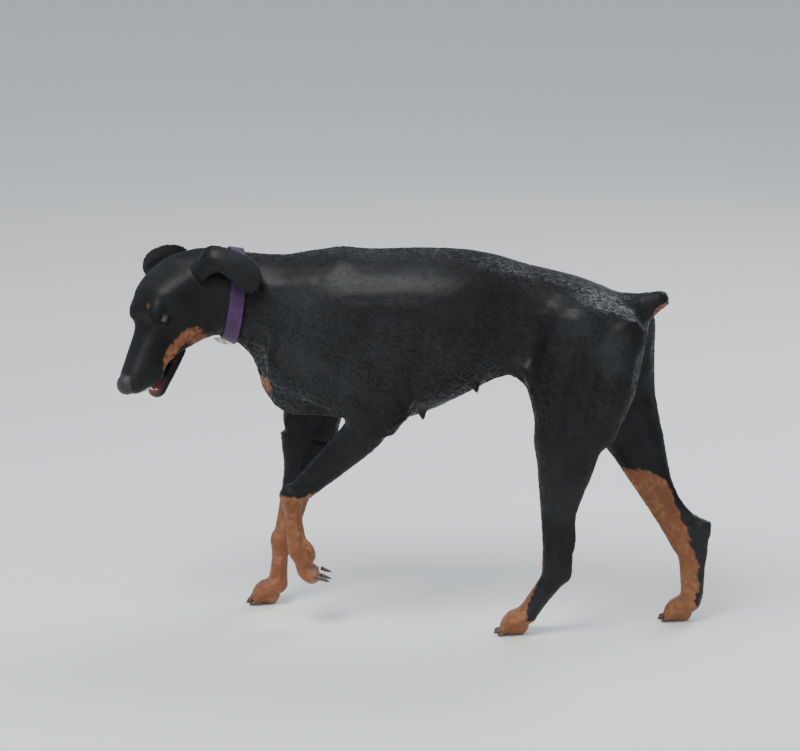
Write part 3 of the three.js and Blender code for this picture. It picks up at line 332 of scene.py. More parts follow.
for i in range(RIB_LINES):
    top = (-70 + i * RIB_STEP, 0, 590)
    end = (-100 + i * RIB_STEP, 0, 450)
    flat = p * (1, 0, 1)
    away, t = segment_distance(flat, top, end)
    side_on = smoothstep(0.55, 0.9, np.abs(normals[:, 1]))
    line = np.exp(-((away / RIB_WIDTH) ** 2)) * np.sin(t * math.pi)
    co += normals * (RIB_HEIGHT * line * side_on)[:, None]
co -= normals * (COAT_DEPTH * (1 - 0.6 * np.maximum(head_part, on_ear)))[:, None]
co[:, 2] = np.maximum(co[:, 2], SOLE_GAP)
skin.data.vertices.foreach_set("co", co.ravel())
skin.data.update()
normals = normal_array(skin.data)


# The markings: black above, rust on the legs below the wrists and hocks, the muzzle's sides,
# the throat, two spots on the breast, a spot over each eye and a patch under the tail.
def ragged(points, scale, amount):
    """A slow unevenness of a border, in the units of the points."""
    x, y, z = (points / scale).T
    wave = np.sin(x * 1.7 + 2 * np.sin(y * 1.3 + 0.7)) + np.sin(z * 2.1 + 2 * np.sin(x * 1.1 + 1.9))
    return amount * (wave + 0.6 * np.sin(4.3 * x + 3.1 * y + 5.2 * z)) / 2.6


def spot(points, centre, sizes, soft=0.25):
    d = np.sqrt((((points - np.array(centre)) / np.array(sizes)) ** 2).sum(axis=1))
    return 1 - smoothstep(1 - soft, 1 + soft, d)


# Where the rust ends on the outside of the near hind leg and the inside of the far one: heights
# and how far back it reaches there
NEAR_HIND_HEIGHTS, NEAR_HIND_EDGE = (0, 33, 66, 99, 144, 182, 205), (152, 172, 174, 183, 197, 190, 168)
FAR_HIND_HEIGHTS, FAR_HIND_EDGE = (13, 80, 138, 182, 258, 285), (458, 464, 456, 438, 402, 366)


def rust_mask(points, facing):
    """How much of the coat is rust at each point: 0 is black and 1 is rust."""
    p, q = to_dog(points), to_head(points)
    edge = ragged(p, 14, 6)
    x, y, z = p.T
    fore = x < -120
    near_fore = fore * (y < -30) * (segment_distance(p, *LIFTED_FOOT)[0] < 64)
    near_fore = near_fore * (1 - smoothstep(238, 254, z + edge - 0.1 * (x + 256)))
    far_fore = fore * (y > -20) * (1 - smoothstep(196, 214, z + edge + 0.2 * (x + 300)))
    mask = np.maximum(near_fore, far_fore)
    # a dark streak over the pad behind the near wrist, and a grey one down its middle
    mask *= 1 - 0.8 * np.exp(-((segment_distance(p, (-226, -84, 244), (-221, -84, 190))[0] / 8) ** 4))
    mask *= 1 - 0.3 * np.exp(-((segment_distance(p, (-262, -100, 225), (-248, -100, 140))[0] / 9) ** 2))
    hind = x > 100
    near_line = np.interp(z, NEAR_HIND_HEIGHTS, NEAR_HIND_EDGE)
    near_line = near_line + 16 * smoothstep(-66, -46, y)
    near = (1 - smoothstep(near_line - 7, near_line + 5, x + edge)) * (1 - smoothstep(192, 214, z))
    inside = smoothstep(-60, -48, y) * (1 - smoothstep(262, 292, z + edge)) * (x < 225)
    mask = np.maximum(mask, hind * (y < 0) * np.maximum.reduce([near, inside, 1 - smoothstep(24, 36, z)]))
    far_line = np.interp(z, FAR_HIND_HEIGHTS, FAR_HIND_EDGE)
    far_line = far_line - 34 * smoothstep(62, 80, y) * smoothstep(40, 90, z)
    far = (1 - smoothstep(far_line - 8, far_line + 6, x + edge)) * (1 - smoothstep(262, 296, z))
    mask = np.maximum(mask, hind * (y > 0) * np.maximum(far, 1 - smoothstep(24, 36, z)))
    # under the tail, its underside and the breast
    mask = np.maximum(mask, spot(p, (382, 0, 530), (22, 20, 40)))
    mask = np.maximum(mask, spot(p, (384, 0, 592), (26, 15, 22)) * smoothstep(0.1, -0.4, facing[:, 2]))
    for side in (-1, 1):
        mask = np.maximum(mask, 0.9 * spot(p, (-306, side * 34, 436), (22, 22, 15)))
    # the head, in its own frame: the sides of the muzzle to the corner of the jaw, and brow spots
    s, l, up = q.T
    edge = ragged(q, 9, 3)
    top_line = np.interp(s, (84, 116, 163, 207), (-96, -76, -60, -65)) + edge
    muzzle = 1 - smoothstep(top_line - 7, top_line + 5, up)
    muzzle *= smoothstep(98, 124, s) * (1 - smoothstep(196, 220, s)) * smoothstep(10, 20, np.abs(l))
    muzzle *= 1 - 0.62 * (1 - smoothstep(-104, -88, up)) * smoothstep(130, 150, s)
    lips = np.exp(-(((up + 88 - 0.12 * (s - 180)) / 4.0) ** 2)) * smoothstep(135, 160, s)
    head = muzzle * (1 - 0.9 * lips) * 0.66
    for side in (-1, 1):
        head = np.maximum(head, 0.40 * spot(q, (117, side * 21, -4), (9, 8, 12), 0.5))
        head = np.maximum(head, 0.42 * spot(q, (91, side * 54, -72), (6, 12, 6), 0.5))
    on_head = smoothstep(20, 60, s) * (x < -380)
    return np.clip(np.maximum(mask, head * on_head), 0, 1)


def mouth_mask(points):
    """How much of the wet inside of the mouth shows at each point."""
    s, l, up = to_head(points).T
    slope = -80 - 0.10 * (s - 150)
    inside = (np.abs(l) < 20) * smoothstep(204, 216, s) * (1 - smoothstep(244, 252, s))
    return inside * np.exp(-(((up - slope) / 9) ** 2))


def paint(target, name, values):
    layer = target.data.attributes.new(name, "FLOAT", "POINT")
    layer.data.foreach_set("value", values.astype(np.float32))


eye_left, eye_right = middle_of("eye_left"), middle_of("eye_right")
LID_REACH = 0.0128
from_eyes = [np.linalg.norm(co - np.array(e), axis=1) for e in (eye_left, eye_right)]
lid = sum(np.exp(-((away / LID_REACH) ** 6)) for away in from_eyes)
paint(skin, "rust", rust_mask(co, normals))
paint(skin, "mouth", np.clip(mouth_mask(co), 0, 1))
paint(skin, "bare", np.clip(lid, 0, 1))


def group_of(name, inputs, outputs):
    made = bpy.data.node_groups.new(name, "ShaderNodeTree")
    for label, kind in inputs:
        made.interface.new_socket(label, in_out="INPUT", socket_type=kind)
    for label, kind in outputs:
        made.interface.new_socket(label, in_out="OUTPUT", socket_type=kind)
    made.nodes.new("NodeGroupInput")
    made.nodes.new("NodeGroupOutput")
    return made


def ends_of(group):
    nodes = group.nodes
    return nodes["Group Input"].outputs, nodes["Group Output"].inputs


def noise_node(tree, scale, detail=3.0, rough=0.55, vector=None):
    made = tree.nodes.new("ShaderNodeTexNoise")
    made.inputs["Scale"].default_value = scale
    made.inputs["Detail"].default_value = detail
    made.inputs["Roughness"].default_value = rough
    if vector is not None:
        tree.links.new(vector, made.inputs["Vector"])
    return made.outputs["Fac"]


def maths(tree, operation, a, b):
    made = tree.nodes.new("ShaderNodeMath")
    made.operation = operation
    for i, value in enumerate((a, b)):
        if isinstance(value, (int, float)):
            made.inputs[i].default_value = value
        else:
            tree.links.new(value, made.inputs[i])
    return made.outputs[0]


def mixed(tree, factor, a, b):
    made = tree.nodes.new("ShaderNodeMix")
    made.data_type = "RGBA"
    for value, index in ((factor, 0), (a, 6), (b, 7)):
        if isinstance(value, (int, float)):
            made.inputs[index].default_value = value
        elif isinstance(value, tuple):
            made.inputs[index].default_value = (*value, 1)
        else:
            tree.links.new(value, made.inputs[index])
    return made.outputs[2]


def ramp(tree, value, low, high):
    made = tree.nodes.new("ShaderNodeMapRange")
    made.interpolation_type = "SMOOTHSTEP"
    made.inputs["From Min"].default_value = low
    made.inputs["From Max"].default_value = high
    tree.links.new(value, made.inputs["Value"])
    return made.outputs["Result"]


def attribute(tree, name):
    made = tree.nodes.new("ShaderNodeAttribute")
    made.attribute_name = name
    return made.outputs["Fac"]


BLACK_COAT = (0.0060, 0.0064, 0.0070)
# a lighter bluish black, painted into the coat in soft patches as sheen
BLACK_PAINTED_SHEEN = (0.0150, 0.0170, 0.0185)
BLACK_BROWN = (0.0130, 0.0095, 0.0075)
RUST_DEEP = (0.130, 0.046, 0.020)
RUST_LIGHT = (0.36, 0.165, 0.080)
MOUTH_PINK = (0.30, 0.085, 0.090)

# The colours of the coat at a place: black that browns in soft patches and carries painted sheen,
# a lighter bluish black, in others, and rust that pales where the hair is thin. It takes the share
# of rust and gives a colour.
coat_colours = group_of("coat_colours", [("Rust", "NodeSocketFloat")], [("Colour", "NodeSocketColor")])
into, out = ends_of(coat_colours)
place = coat_colours.nodes.new("ShaderNodeTexCoord").outputs["Object"]
# soft patches where the painted sheen, a lighter bluish black, is mixed into the black
painted_sheen_patches = ramp(coat_colours, noise_node(coat_colours, 7, 3, 0.5, place), 0.42, 0.66)
fine = ramp(coat_colours, noise_node(coat_colours, 120, 4, 0.6, place), 0.3, 0.7)
brown = ramp(coat_colours, noise_node(coat_colours, 13, 2, 0.5, place), 0.52, 0.72)
black = mixed(coat_colours, painted_sheen_patches, BLACK_COAT, BLACK_PAINTED_SHEEN)
black = mixed(coat_colours, maths(coat_colours, "MULTIPLY", brown, 0.5), black, BLACK_BROWN)
pale = ramp(coat_colours, noise_node(coat_colours, 26, 3, 0.6, place), 0.34, 0.68)
tan = mixed(coat_colours, maths(coat_colours, "MULTIPLY", pale, fine), RUST_DEEP, RUST_LIGHT)
tan = mixed(coat_colours, 0.45, tan, (0.245, 0.098, 0.043))
strands = maths(coat_colours, "MULTIPLY", maths(coat_colours, "SUBTRACT", fine, 0.5), 0.28)
border = maths(coat_colours, "ADD", into["Rust"], strands)
share = ramp(coat_colours, border, 0.30, 0.72)
coat_colours.links.new(mixed(coat_colours, share, black, tan), out["Colour"])

# The lie of short hair as relief: fine streaks along the body, the same way on the legs, and small lumps.
hair_relief = group_of("hair_relief", [("Strength", "NodeSocketFloat")], [("Normal", "NodeSocketVector")])
into, out = ends_of(hair_relief)
place = hair_relief.nodes.new("ShaderNodeTexCoord").outputs["Object"]
stretch = hair_relief.nodes.new("ShaderNodeMapping")
stretch.inputs["Scale"].default_value = (120, 520, 330)
hair_relief.links.new(place, stretch.inputs["Vector"])
streaks = noise_node(hair_relief, 1.0, 3, 0.6, stretch.outputs[0])
lumps = noise_node(hair_relief, 60, 3, 0.5, place)
height = maths(hair_relief, "ADD", maths(hair_relief, "MULTIPLY", streaks, 0.5), lumps)
bump = hair_relief.nodes.new("ShaderNodeBump")
bump.inputs["Distance"].default_value = 0.0012
hair_relief.links.new(into["Strength"], bump.inputs["Strength"])
hair_relief.links.new(height, bump.inputs["Height"])
hair_relief.links.new(bump.outputs["Normal"], out["Normal"])


def grouped(tree, group):
    made = tree.nodes.new("ShaderNodeGroup")
    made.node_tree = group
    return made


def new_material(name):
    made = bpy.data.materials.new(name)
    made.use_nodes = True
    return made, made.node_tree, made.node_tree.nodes["Principled BSDF"]


def hair_material(name, roughness, relief):
    made, tree, shader = new_material(name)
    colours = grouped(tree, coat_colours)
    tree.links.new(attribute(tree, "rust"), colours.inputs["Rust"])
    pink = mixed(tree, attribute(tree, "mouth"), colours.outputs["Colour"], MOUTH_PINK)
    dark = mixed(tree, attribute(tree, "bare"), pink, (0.008, 0.007, 0.007))
    tree.links.new(dark, shader.inputs["Base Color"])
    wet = maths(tree, "MAXIMUM", attribute(tree, "mouth"), attribute(tree, "bare"))
    rough = maths(tree, "SUBTRACT", roughness, maths(tree, "MULTIPLY", wet, 0.25))
    tree.links.new(rough, shader.inputs["Roughness"])
    shader.inputs["Specular IOR Level"].default_value = 0.18
    shader.inputs["Sheen Weight"].default_value = 0.05
    shader.inputs["Sheen Roughness"].default_value = 0.45
    shader.inputs["Sheen Tint"].default_value = (0.75, 0.85, 1.0, 1)
    hair = grouped(tree, hair_relief)
    hair.inputs["Strength"].default_value = relief
    tree.links.new(hair.outputs["Normal"], shader.inputs["Normal"])
    return made


skin.data.materials.clear()
skin.data.materials.append(hair_material("hide", 0.44, 0.40))
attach(skin, "root")
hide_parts(*FLESH)


# The coat: short flat hair as slim tufts that follow the body backwards and down, about four
# millimetres long on the face and feet and eight on the trunk. Each has four triangles.
TUFT_COUNTS = {"coat_trunk": 44000, "coat_legs": 38000, "coat_head": 44000}
TUFT_LENGTHS = {"coat_trunk": 0.0085, "coat_legs": 0.0060, "coat_head": 0.0036}
TUFT_HALF_WIDTH = 0.06  # this and the next two are shares of the tuft's length
TIP_LIFT, BEND_LIFT = 0.085, 0.09
TUFT_SINK = 0.0005  # how deep its root sits in the skin
TUFT_TURN = 0.16  # how far tufts turn from the lie of the hair, in radians
PATCH = 0.003  # of the unwrap that one tuft's colours are baked on
NOT_HAIRY = 0.3
NOSE_START = 240  # along the head, in millimetres
SOLE_CLEAR = 5  # millimetres above the floor
EYE_CLEAR = 0.0145
HEAD_BEHIND, LEG_TOP = -372, 400  # where the three pieces of the coat part
LEG_STEP = 20
LEG_HEIGHTS = np.arange(0, LEG_TOP + LEG_STEP, LEG_STEP)


def flow(points, facing):
    """The way the hair lies at each point, along the surface."""
    p, q = to_dog(points), to_head(points)
    x, y, z = p.T
    lie = np.tile(np.array([1.0, 0.0, -0.45]), (len(p), 1))
    down = np.tile(np.array([0.15, 0.0, -1.0]), (len(p), 1))
    leg = (1 - smoothstep(380, 470, z))[:, None]
    lie = lie * (1 - leg) + down * leg
    lifted = (smoothstep(60, 30, segment_distance(p, (-88, -91, 405), (-256, -82, 243))[0]))[:, None]
    lie = lie * (1 - lifted) + np.array([-0.72, 0.03, -0.69]) * lifted
    head = (smoothstep(-360, -420, x) * smoothstep(0, 40, q[:, 0]))[:, None]
    lie = lie * (1 - head) - np.array(HEAD.to_3x3().col[0]) * head
    lie -= facing * (lie * facing).sum(axis=1, keepdims=True)
    return lie / np.maximum(np.linalg.norm(lie, axis=1, keepdims=True), 1e-6)


def unwrapped(points):
    """Places on an unwrap of the body: trunk, head and each leg rolled off round its own axis."""
    p, q = to_dog(points), to_head(points)
    x, y, z = p.T
    u = (np.arctan2(y, z - 560) / (2 * math.pi) + 0.5) * 0.96 + 0.02
    v = 0.52 + 0.46 * np.clip((x + 480) / 900, 0, 1)
    head = (p[:, 0] < -395) | ((q[:, 0] > 0) & (p[:, 0] < -380))
    turn = np.arctan2(q[:, 1], q[:, 2] + 60) / (2 * math.pi) + 0.5
    u = np.where(head, 0.01 + 0.48 * turn, u)
    v = np.where(head, 0.27 + 0.22 * np.clip((q[:, 0] + 60) / 350, 0, 1), v)
    legs = z < 400
    for i, (front, side) in enumerate(((True, -1), (True, 1), (False, -1), (False, 1))):
        inside = legs & ((x < 60) == front) & ((y < (-10 if front else 0)) == (side < 0)) & ~head
        if not inside.any():
            continue
        middles = []
        for h in LEG_HEIGHTS:
            level = inside & (np.abs(z - h) < LEG_STEP)
            middles.append(x[level].mean() if level.any() else 0)
        centre_x = np.interp(z, LEG_HEIGHTS, middles)
        turn = np.arctan2(y - y[inside].mean(), x - centre_x) / (2 * math.pi) + 0.5
        u = np.where(inside, 0.25 * i + 0.01 + 0.22 * turn, u)
        v = np.where(inside, 0.01 + 0.24 * z / 400, v)
    return np.stack([u, v], axis=1)


skin.data.calc_loop_triangles()
triangles = np.array([t.vertices[:] for t in skin.data.loop_triangles])
corners = co[triangles]
areas = np.linalg.norm(np.cross(corners[:, 1] - corners[:, 0], corners[:, 2] - corners[:, 0]), axis=1) / 2
centres = to_dog(corners.mean(axis=1))
head_side = centres[:, 0] < HEAD_BEHIND
leg_side = (centres[:, 2] < LEG_TOP) & ~head_side
regions = {
    "coat_head": head_side,
    "coat_legs": leg_side,
    "coat_trunk": ~head_side & ~leg_side,
}
for name, where in regions.items():
    chance = areas * where
    count = TUFT_COUNTS[name]
    chosen = dice.choice(len(areas), count, p=chance / chance.sum())
    mix = dice.dirichlet((1, 1, 1), count)
    root = (corners[chosen] * mix[:, :, None]).sum(axis=1)
    up = (normals[triangles[chosen]] * mix[:, :, None]).sum(axis=1)
    up /= np.linalg.norm(up, axis=1, keepdims=True)
    at_eyes = [np.linalg.norm(root - np.array(e), axis=1) < EYE_CLEAR for e in (eye_left, eye_right)]
    at_nose = (to_head(root)[:, 0] > NOSE_START) & (name == "coat_head")
    hairless = mouth_mask(root) + at_eyes[0] + at_eyes[1] + at_nose
    keep = (hairless < NOT_HAIRY) & (to_dog(root)[:, 2] > SOLE_CLEAR)
    root, up = root[keep], up[keep]
    lie = flow(root, up)
    turn = dice.normal(0, TUFT_TURN, len(root))[:, None]
    lie = lie * np.cos(turn) + np.cross(up, lie) * np.sin(turn)
    longer = np.full(len(root), TUFT_LENGTHS[name])
    q_root, p_root = to_head(root), to_dog(root)
    if name == "coat_head":
        longer *= 1 + 0.9 * (1 - smoothstep(-10, 60, q_root[:, 0]))
        longer *= 1 - 0.45 * smoothstep(150, 250, q_root[:, 0])
    if name == "coat_legs":
        longer *= 0.55 + 0.45 * smoothstep(40, 200, p_root[:, 2])
    longer = longer * dice.uniform(0.75, 1.2, len(root))
    longer *= 1 - 0.35 * ear_share(root)
    wide = longer * TUFT_HALF_WIDTH
    across = np.cross(up, lie)
    sink = up * TUFT_SINK
    tip = root + lie * longer[:, None] + up * (longer * TIP_LIFT)[:, None]
    bend = root + lie * (longer * 0.5)[:, None] + up * (longer * BEND_LIFT)[:, None]
    verts = np.stack(
        [root - across * wide[:, None] - sink, root + across * wide[:, None] - sink, bend, tip], axis=1
    ).reshape(-1, 3)
    first = np.arange(len(root))[:, None] * 4
    quad = np.array([[0, 3, 2], [1, 2, 3], [0, 2, 1], [1, 3, 0]])
    faces = (first[:, None, :] + quad[None]).reshape(-1, 3)
    coat = bpy.data.meshes.new(name)
    coat.vertices.add(len(verts))
    coat.vertices.foreach_set("co", verts.ravel())
    coat.loops.add(len(faces) * 3)
    coat.loops.foreach_set("vertex_index", faces.ravel().astype(np.int32))
    coat.polygons.add(len(faces))
    coat.polygons.foreach_set("loop_start", np.arange(0, len(faces) * 3, 3, dtype=np.int32))
    coat.update(calc_edges=True)
    coat.polygons.foreach_set("use_smooth", np.ones(len(faces), bool))
    piece = bpy.data.objects.new(name, coat)
    scene.collection.objects.link(piece)
    spots = unwrapped(root)
    local = np.array([[-0.5, -0.5], [0.5, -0.5], [0.0, 0.2], [0.0, 0.5]]) * PATCH
    placed = (np.clip(spots, PATCH, 1 - PATCH)[:, None, :] + local[None]).reshape(-1, 2)
    layer = coat.uv_layers.new(name="OFBake")
    layer.data.foreach_set("uv", placed[faces.ravel()].ravel())
    paint(piece, "rust", np.repeat(rust_mask(root, up), 4))
    paint(piece, "mouth", np.zeros(len(verts)))
    paint(piece, "bare", np.zeros(len(verts)))
    # the tufts take their light as the skin under them does, so that they read as one smooth coat
    coat.normals_split_custom_set_from_vertices(np.repeat(up, 4, axis=0).tolist())
    coat.materials.append(hair_material(name, 0.44, 0.05))
    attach(piece, "root")


def gaze_of(side):
    """The way an eye looks, forward and out: side is 1 on the left and -1 on the right."""
    return (HEAD.to_3x3() @ Vector((0.45, side * 0.80, 0.30))).normalized()


# The eyes: wet balls with a dark brown iris round a black pupil, under a clear cornea. Each looks
# forward and out.
EYE_RADIUS = 0.0111
EYE_SEGMENTS, EYE_RINGS = 32, 20
IRIS = (0.034, 0.013, 0.005)
EYE_WHITE = (0.055, 0.040, 0.034)
eye_finish, tree, shader = new_material("eye")
place = tree.nodes.new("ShaderNodeTexCoord").outputs["Object"]
gaze = tree.nodes.new("ShaderNodeSeparateXYZ")
tree.links.new(place, gaze.inputs[0])
pupil = ramp(tree, gaze.outputs["Z"], 0.955 * EYE_RADIUS, 0.945 * EYE_RADIUS)
white = ramp(tree, gaze.outputs["Z"], 0.72 * EYE_RADIUS, 0.64 * EYE_RADIUS)
iris = mixed(tree, noise_node(tree, 900, 3), IRIS, (0.030, 0.011, 0.004))
colour = mixed(tree, pupil, (0.002, 0.002, 0.002), iris)
colour = mixed(tree, white, colour, EYE_WHITE)
tree.links.new(colour, shader.inputs["Base Color"])
shader.inputs["Roughness"].default_value = 0.06
shader.inputs["Coat Weight"].default_value = 0.6
shader.inputs["Coat Roughness"].default_value = 0.02
for side, name in ((1, "eye_left"), (-1, "eye_right")):
    segments, rings = EYE_SEGMENTS, EYE_RINGS
    verts, faces = [(0, 0, EYE_RADIUS)], []
    for i in range(1, rings):
        a = math.pi * i / rings
        for j in range(segments):
            b = 2 * math.pi * j / segments
            level = EYE_RADIUS * math.sin(a)
            verts.append((level * math.cos(b), level * math.sin(b), EYE_RADIUS * math.cos(a)))
    verts.append((0, 0, -EYE_RADIUS))
    for j in range(segments):
        k = (j + 1) % segments
        faces.append((0, 1 + j, 1 + k))
        faces.append((len(verts) - 1, 1 + (rings - 2) * segments + k, 1 + (rings - 2) * segments + j))
        for i in range(rings - 2):
            a, b = 1 + i * segments, 1 + (i + 1) * segments
            faces.append((a + j, b + j, b + k, a + k))
    eye = new_object(name + "_ball", verts, faces)
    turned = gaze_of(side).to_track_quat("Z", "Y").to_matrix().to_4x4()
    eye.matrix_world = Matrix.Translation(middle_of(name)) @ turned
    eye.data.materials.append(eye_finish)
    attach(eye, "root")
    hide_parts(name)


# The lids: soft black rims that close over the ball to an almond opening. Each is a ring of its
# own round the eye, with a thick moist edge.
LID_CORNER, LID_UPPER, LID_LOWER = math.radians(54), math.radians(25), math.radians(17)
LID_END = math.radians(84)
ALMOND = 1.55
LID_STEPS = 48
LID_BARE = [1.0, 1.0, 0.6, 0.0, 0.0, 0.0, 0.0]  # bare edge, then hair, ring by ring
for side, name in ((1, "eye_left"), (-1, "eye_right")):
    turn_to_frame = HEAD.to_3x3()
    ahead = gaze_of(side)
    corner = turn_to_frame @ Vector((0.86, -side * 0.40, -0.16))
    corner = (corner - ahead * corner.dot(ahead)).normalized()
    over = ahead.cross(corner) * -side
    if over.dot(turn_to_frame.col[2]) < 0:
        over = -over
    verts, faces, rings = [], [], 7
    for i in range(LID_STEPS):
        a = 2 * math.pi * i / LID_STEPS
        tall = LID_UPPER if math.sin(a) > 0 else LID_LOWER
        wide_share = abs(math.cos(a) / LID_CORNER) ** ALMOND + abs(math.sin(a) / tall) ** ALMOND
        start = wide_share ** (-1 / ALMOND)
        way = corner * math.cos(a) + over * math.sin(a)
        for opening, rise in (
            (start, 0.0002), (start + 0.02, 0.0011), (start + 0.10, 0.0016),
            ((start + LID_END) / 2, 0.0014), (LID_END, 0.0008), (LID_END, 0.0001),
            (start + 0.10, 0.0001),
        ):
            out_way = ahead * math.cos(opening) + way * math.sin(opening)
            verts.append(middle_of(name) + out_way * (EYE_RADIUS + rise))
        for j in range(rings):
            k, m = (i + 1) % LID_STEPS, (j + 1) % rings
            faces.append((i * rings + j, i * rings + m, k * rings + m, k * rings + j))
    lids = new_object(name.replace("eye", "lids"), verts, faces)
    paint(lids, "rust", np.zeros(len(verts)))
    paint(lids, "mouth", np.zeros(len(verts)))
    paint(lids, "bare", np.tile(LID_BARE, LID_STEPS))
    lids.data.materials.append(skin.data.materials[0])
    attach(lids, "root")


# The nose: bare black leather, pebbled and slightly moist, with comma-shaped nostrils and a
# shallow groove down its middle.
NOSE_CELL = 0.0011
nose = remeshed("nose_leather", ["nose"], NOSE_CELL)
nose_co = relaxed(corner_array(nose.data), edge_array(nose.data), 10, 1.0)
nose.data.vertices.foreach_set("co", nose_co.ravel())
nose.data.update()
facing = normal_array(nose.data)
NOSTRIL = ((269, 8, -43), (266, 13, -46), (258, 18, -50))
for side in (-1, 1):
    for a, b in zip(NOSTRIL, NOSTRIL[1:]):
        away, _ = segment_distance(to_head(nose_co), (a[0], side * a[1], a[2]), (b[0], side * b[1], b[2]))
        nose_co -= facing * (0.0022 * np.exp(-((away / 2.4) ** 2)))[:, None]
away, _ = segment_distance(to_head(nose_co), (274, 0, -36), (268, 0, -60))
nose_co -= facing * (0.0009 * np.exp(-((away / 1.6) ** 2)))[:, None]
nose.data.vertices.foreach_set("co", nose_co.ravel())
nose_finish, tree, shader = new_material("nose_leather")
place = tree.nodes.new("ShaderNodeTexCoord").outputs["Object"]
pebbles = tree.nodes.new("ShaderNodeTexVoronoi")
pebbles.inputs["Scale"].default_value = 620
tree.links.new(place, pebbles.inputs["Vector"])
bump = tree.nodes.new("ShaderNodeBump")
bump.inputs["Strength"].default_value = 0.6
bump.inputs["Distance"].default_value = 0.0006
bump.invert = True
tree.links.new(pebbles.outputs["Distance"], bump.inputs["Height"])
tree.links.new(bump.outputs["Normal"], shader.inputs["Normal"])
grey = mixed(tree, noise_node(tree, 90, 3, 0.5, place), (0.010, 0.010, 0.011), (0.040, 0.038, 0.038))
tree.links.new(grey, shader.inputs["Base Color"])
shader.inputs["Roughness"].default_value = 0.5
shader.inputs["Specular IOR Level"].default_value = 0.35
nose.data.materials.clear()
nose.data.materials.append(nose_finish)
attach(nose, "root")
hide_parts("nose")


# The tongue: wet pink flesh that shows between the parted lips, drawn from its solid and
# smoothed, with the fine grain of its buds.
TONGUE_CELL = 0.0014
tongue = remeshed("tongue_flesh", ["tongue"], TONGUE_CELL)
tongue_co = relaxed(corner_array(tongue.data), edge_array(tongue.data), 8, 1.0)
tongue.data.vertices.foreach_set("co", tongue_co.ravel())
tongue_finish, tree, shader = new_material("tongue_flesh")
place = tree.nodes.new("ShaderNodeTexCoord").outputs["Object"]
pink = mixed(tree, noise_node(tree, 240, 3, 0.5, place), (0.42, 0.13, 0.135), (0.62, 0.26, 0.25))
tree.links.new(pink, shader.inputs["Base Color"])
shader.inputs["Roughness"].default_value = 0.28
shader.inputs["Subsurface Weight"].default_value = 0.2
shader.inputs["Subsurface Radius"].default_value = (0.004, 0.0015, 0.001)
buds = tree.nodes.new("ShaderNodeBump")
buds.inputs["Strength"].default_value = 0.4
buds.inputs["Distance"].default_value = 0.0004
tree.links.new(noise_node(tree, 1500, 2, 0.5, place), buds.inputs["Height"])
tree.links.new(buds.outputs["Normal"], shader.inputs["Normal"])
tongue.data.materials.clear()
tongue.data.materials.append(tongue_finish)
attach(tongue, "root")
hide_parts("tongue")


# The teeth: ivory canines and a few of their smaller neighbours, where the parted lips show them.
# Each is a straight, tapering cone.
JAW_HINGE = Vector((62, 0, -72))
JAW_OPEN = math.radians(7)


def in_jaw(s, l, z):
    turned = Matrix.Rotation(JAW_OPEN, 3, "Y") @ (Vector((s, l, z)) - JAW_HINGE) + JAW_HINGE
    return in_head(*turned)


def cone(points, radii, sides=12):
    """A tube through points with those radii, closed at both ends."""
    verts, faces = [], []
    axis = (points[-1] - points[0]).normalized()
    across = axis.orthogonal().normalized()
    over = axis.cross(across)
    for point, radius in zip(points, radii):
        for j in range(sides):
            a = 2 * math.pi * j / sides
            verts.append(point + (across * math.cos(a) + over * math.sin(a)) * radius)
    for i in range(len(points) - 1):
        for j in range(sides):
            k = (j + 1) % sides
            faces.append((i * sides + j, i * sides + k, (i + 1) * sides + k, (i + 1) * sides + j))
    faces.append(tuple(reversed(range(sides))))
    faces.append(tuple((len(points) - 1) * sides + j for j in range(sides)))
    return verts, faces


def joined(name, parts):
    verts, faces = [], []
    for part_verts, part_faces in parts:
        faces += [tuple(v + len(verts) for v in face) for face in part_faces]
        verts += part_verts
    return new_object(name, verts, faces)


teeth_parts = []
for side in (-1, 1):
    upper = [in_head(240 + 2 * t, side * (15 + 0.5 * t), -72 - 14 * t) for t in (0, 0.35, 0.7, 1)]
    teeth_parts.append(cone(upper, (0.0030, 0.0027, 0.0017, 0.0003)))
    under = [in_jaw(237 + 2 * t, side * (11 + 0.5 * t), -82 + 14 * t) for t in (0, 0.35, 0.7, 1)]
    teeth_parts.append(cone(under, (0.0027, 0.0024, 0.0015, 0.0003)))
    for k in range(3):
        small = [in_head(250 - k * 1.2, side * (2.4 + 4.2 * k), -72 - 7 * t) for t in (0, 0.5, 1)]
        teeth_parts.append(cone(small, (0.0017, 0.0016, 0.0006), 8))
        small = [in_jaw(244 - k * 1.4, side * (2 + 3.4 * k), -80 + 6 * t) for t in (0, 0.5, 1)]
        teeth_parts.append(cone(small, (0.0015, 0.0014, 0.0006), 8))
teeth = joined("teeth", teeth_parts)
ivory, tree, shader = new_material("ivory")
place = tree.nodes.new("ShaderNodeTexCoord").outputs["Object"]
stained = noise_node(tree, 260, 2, 0.5, place)
tree.links.new(mixed(tree, stained, (0.72, 0.66, 0.52), (0.62, 0.52, 0.36)), shader.inputs["Base Color"])
shader.inputs["Roughness"].default_value = 0.2
teeth.data.materials.append(ivory)
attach(teeth, "root")


# The claws: dark horn with paler streaks, four on each foot, thick at the root and drooping to a
# blunt tip.
PAWS = {
    "forepaw_left": ((-246, -76, 142), (0.36, 0.08, -0.93), (-0.93, 0.1, -0.36), (47, 0), (53, -17), 12.5),
    "forepaw_right": ((-306, 40, 38), (-1, -0.05, 0), (0, 0, 1), (21, -7), (36, -29), 14.5),
    "hindpaw_left": ((166, -60, 37), (-1, -0.04, 0), (0, 0, 1), (21, -7), (36, -29), 14.5),
    "hindpaw_right": ((450, 60, 37), (-1, 0.04, 0), (0, 0, 1), (21, -7), (36, -29), 14.5),
}
INNER_TOES = 8
TOE_END = 7
CLAW_CURVE = ((-3, 0), (3, 0.2), (8, 1.4), (12, 3.0), (14.2, 4.2))  # out and down, in millimetres
CLAW_RADII = (0.0036, 0.0036, 0.0030, 0.0019, 0.0008)
STEEPEST = -0.75  # the steepest way down that a claw points, in radians
claw_parts = []
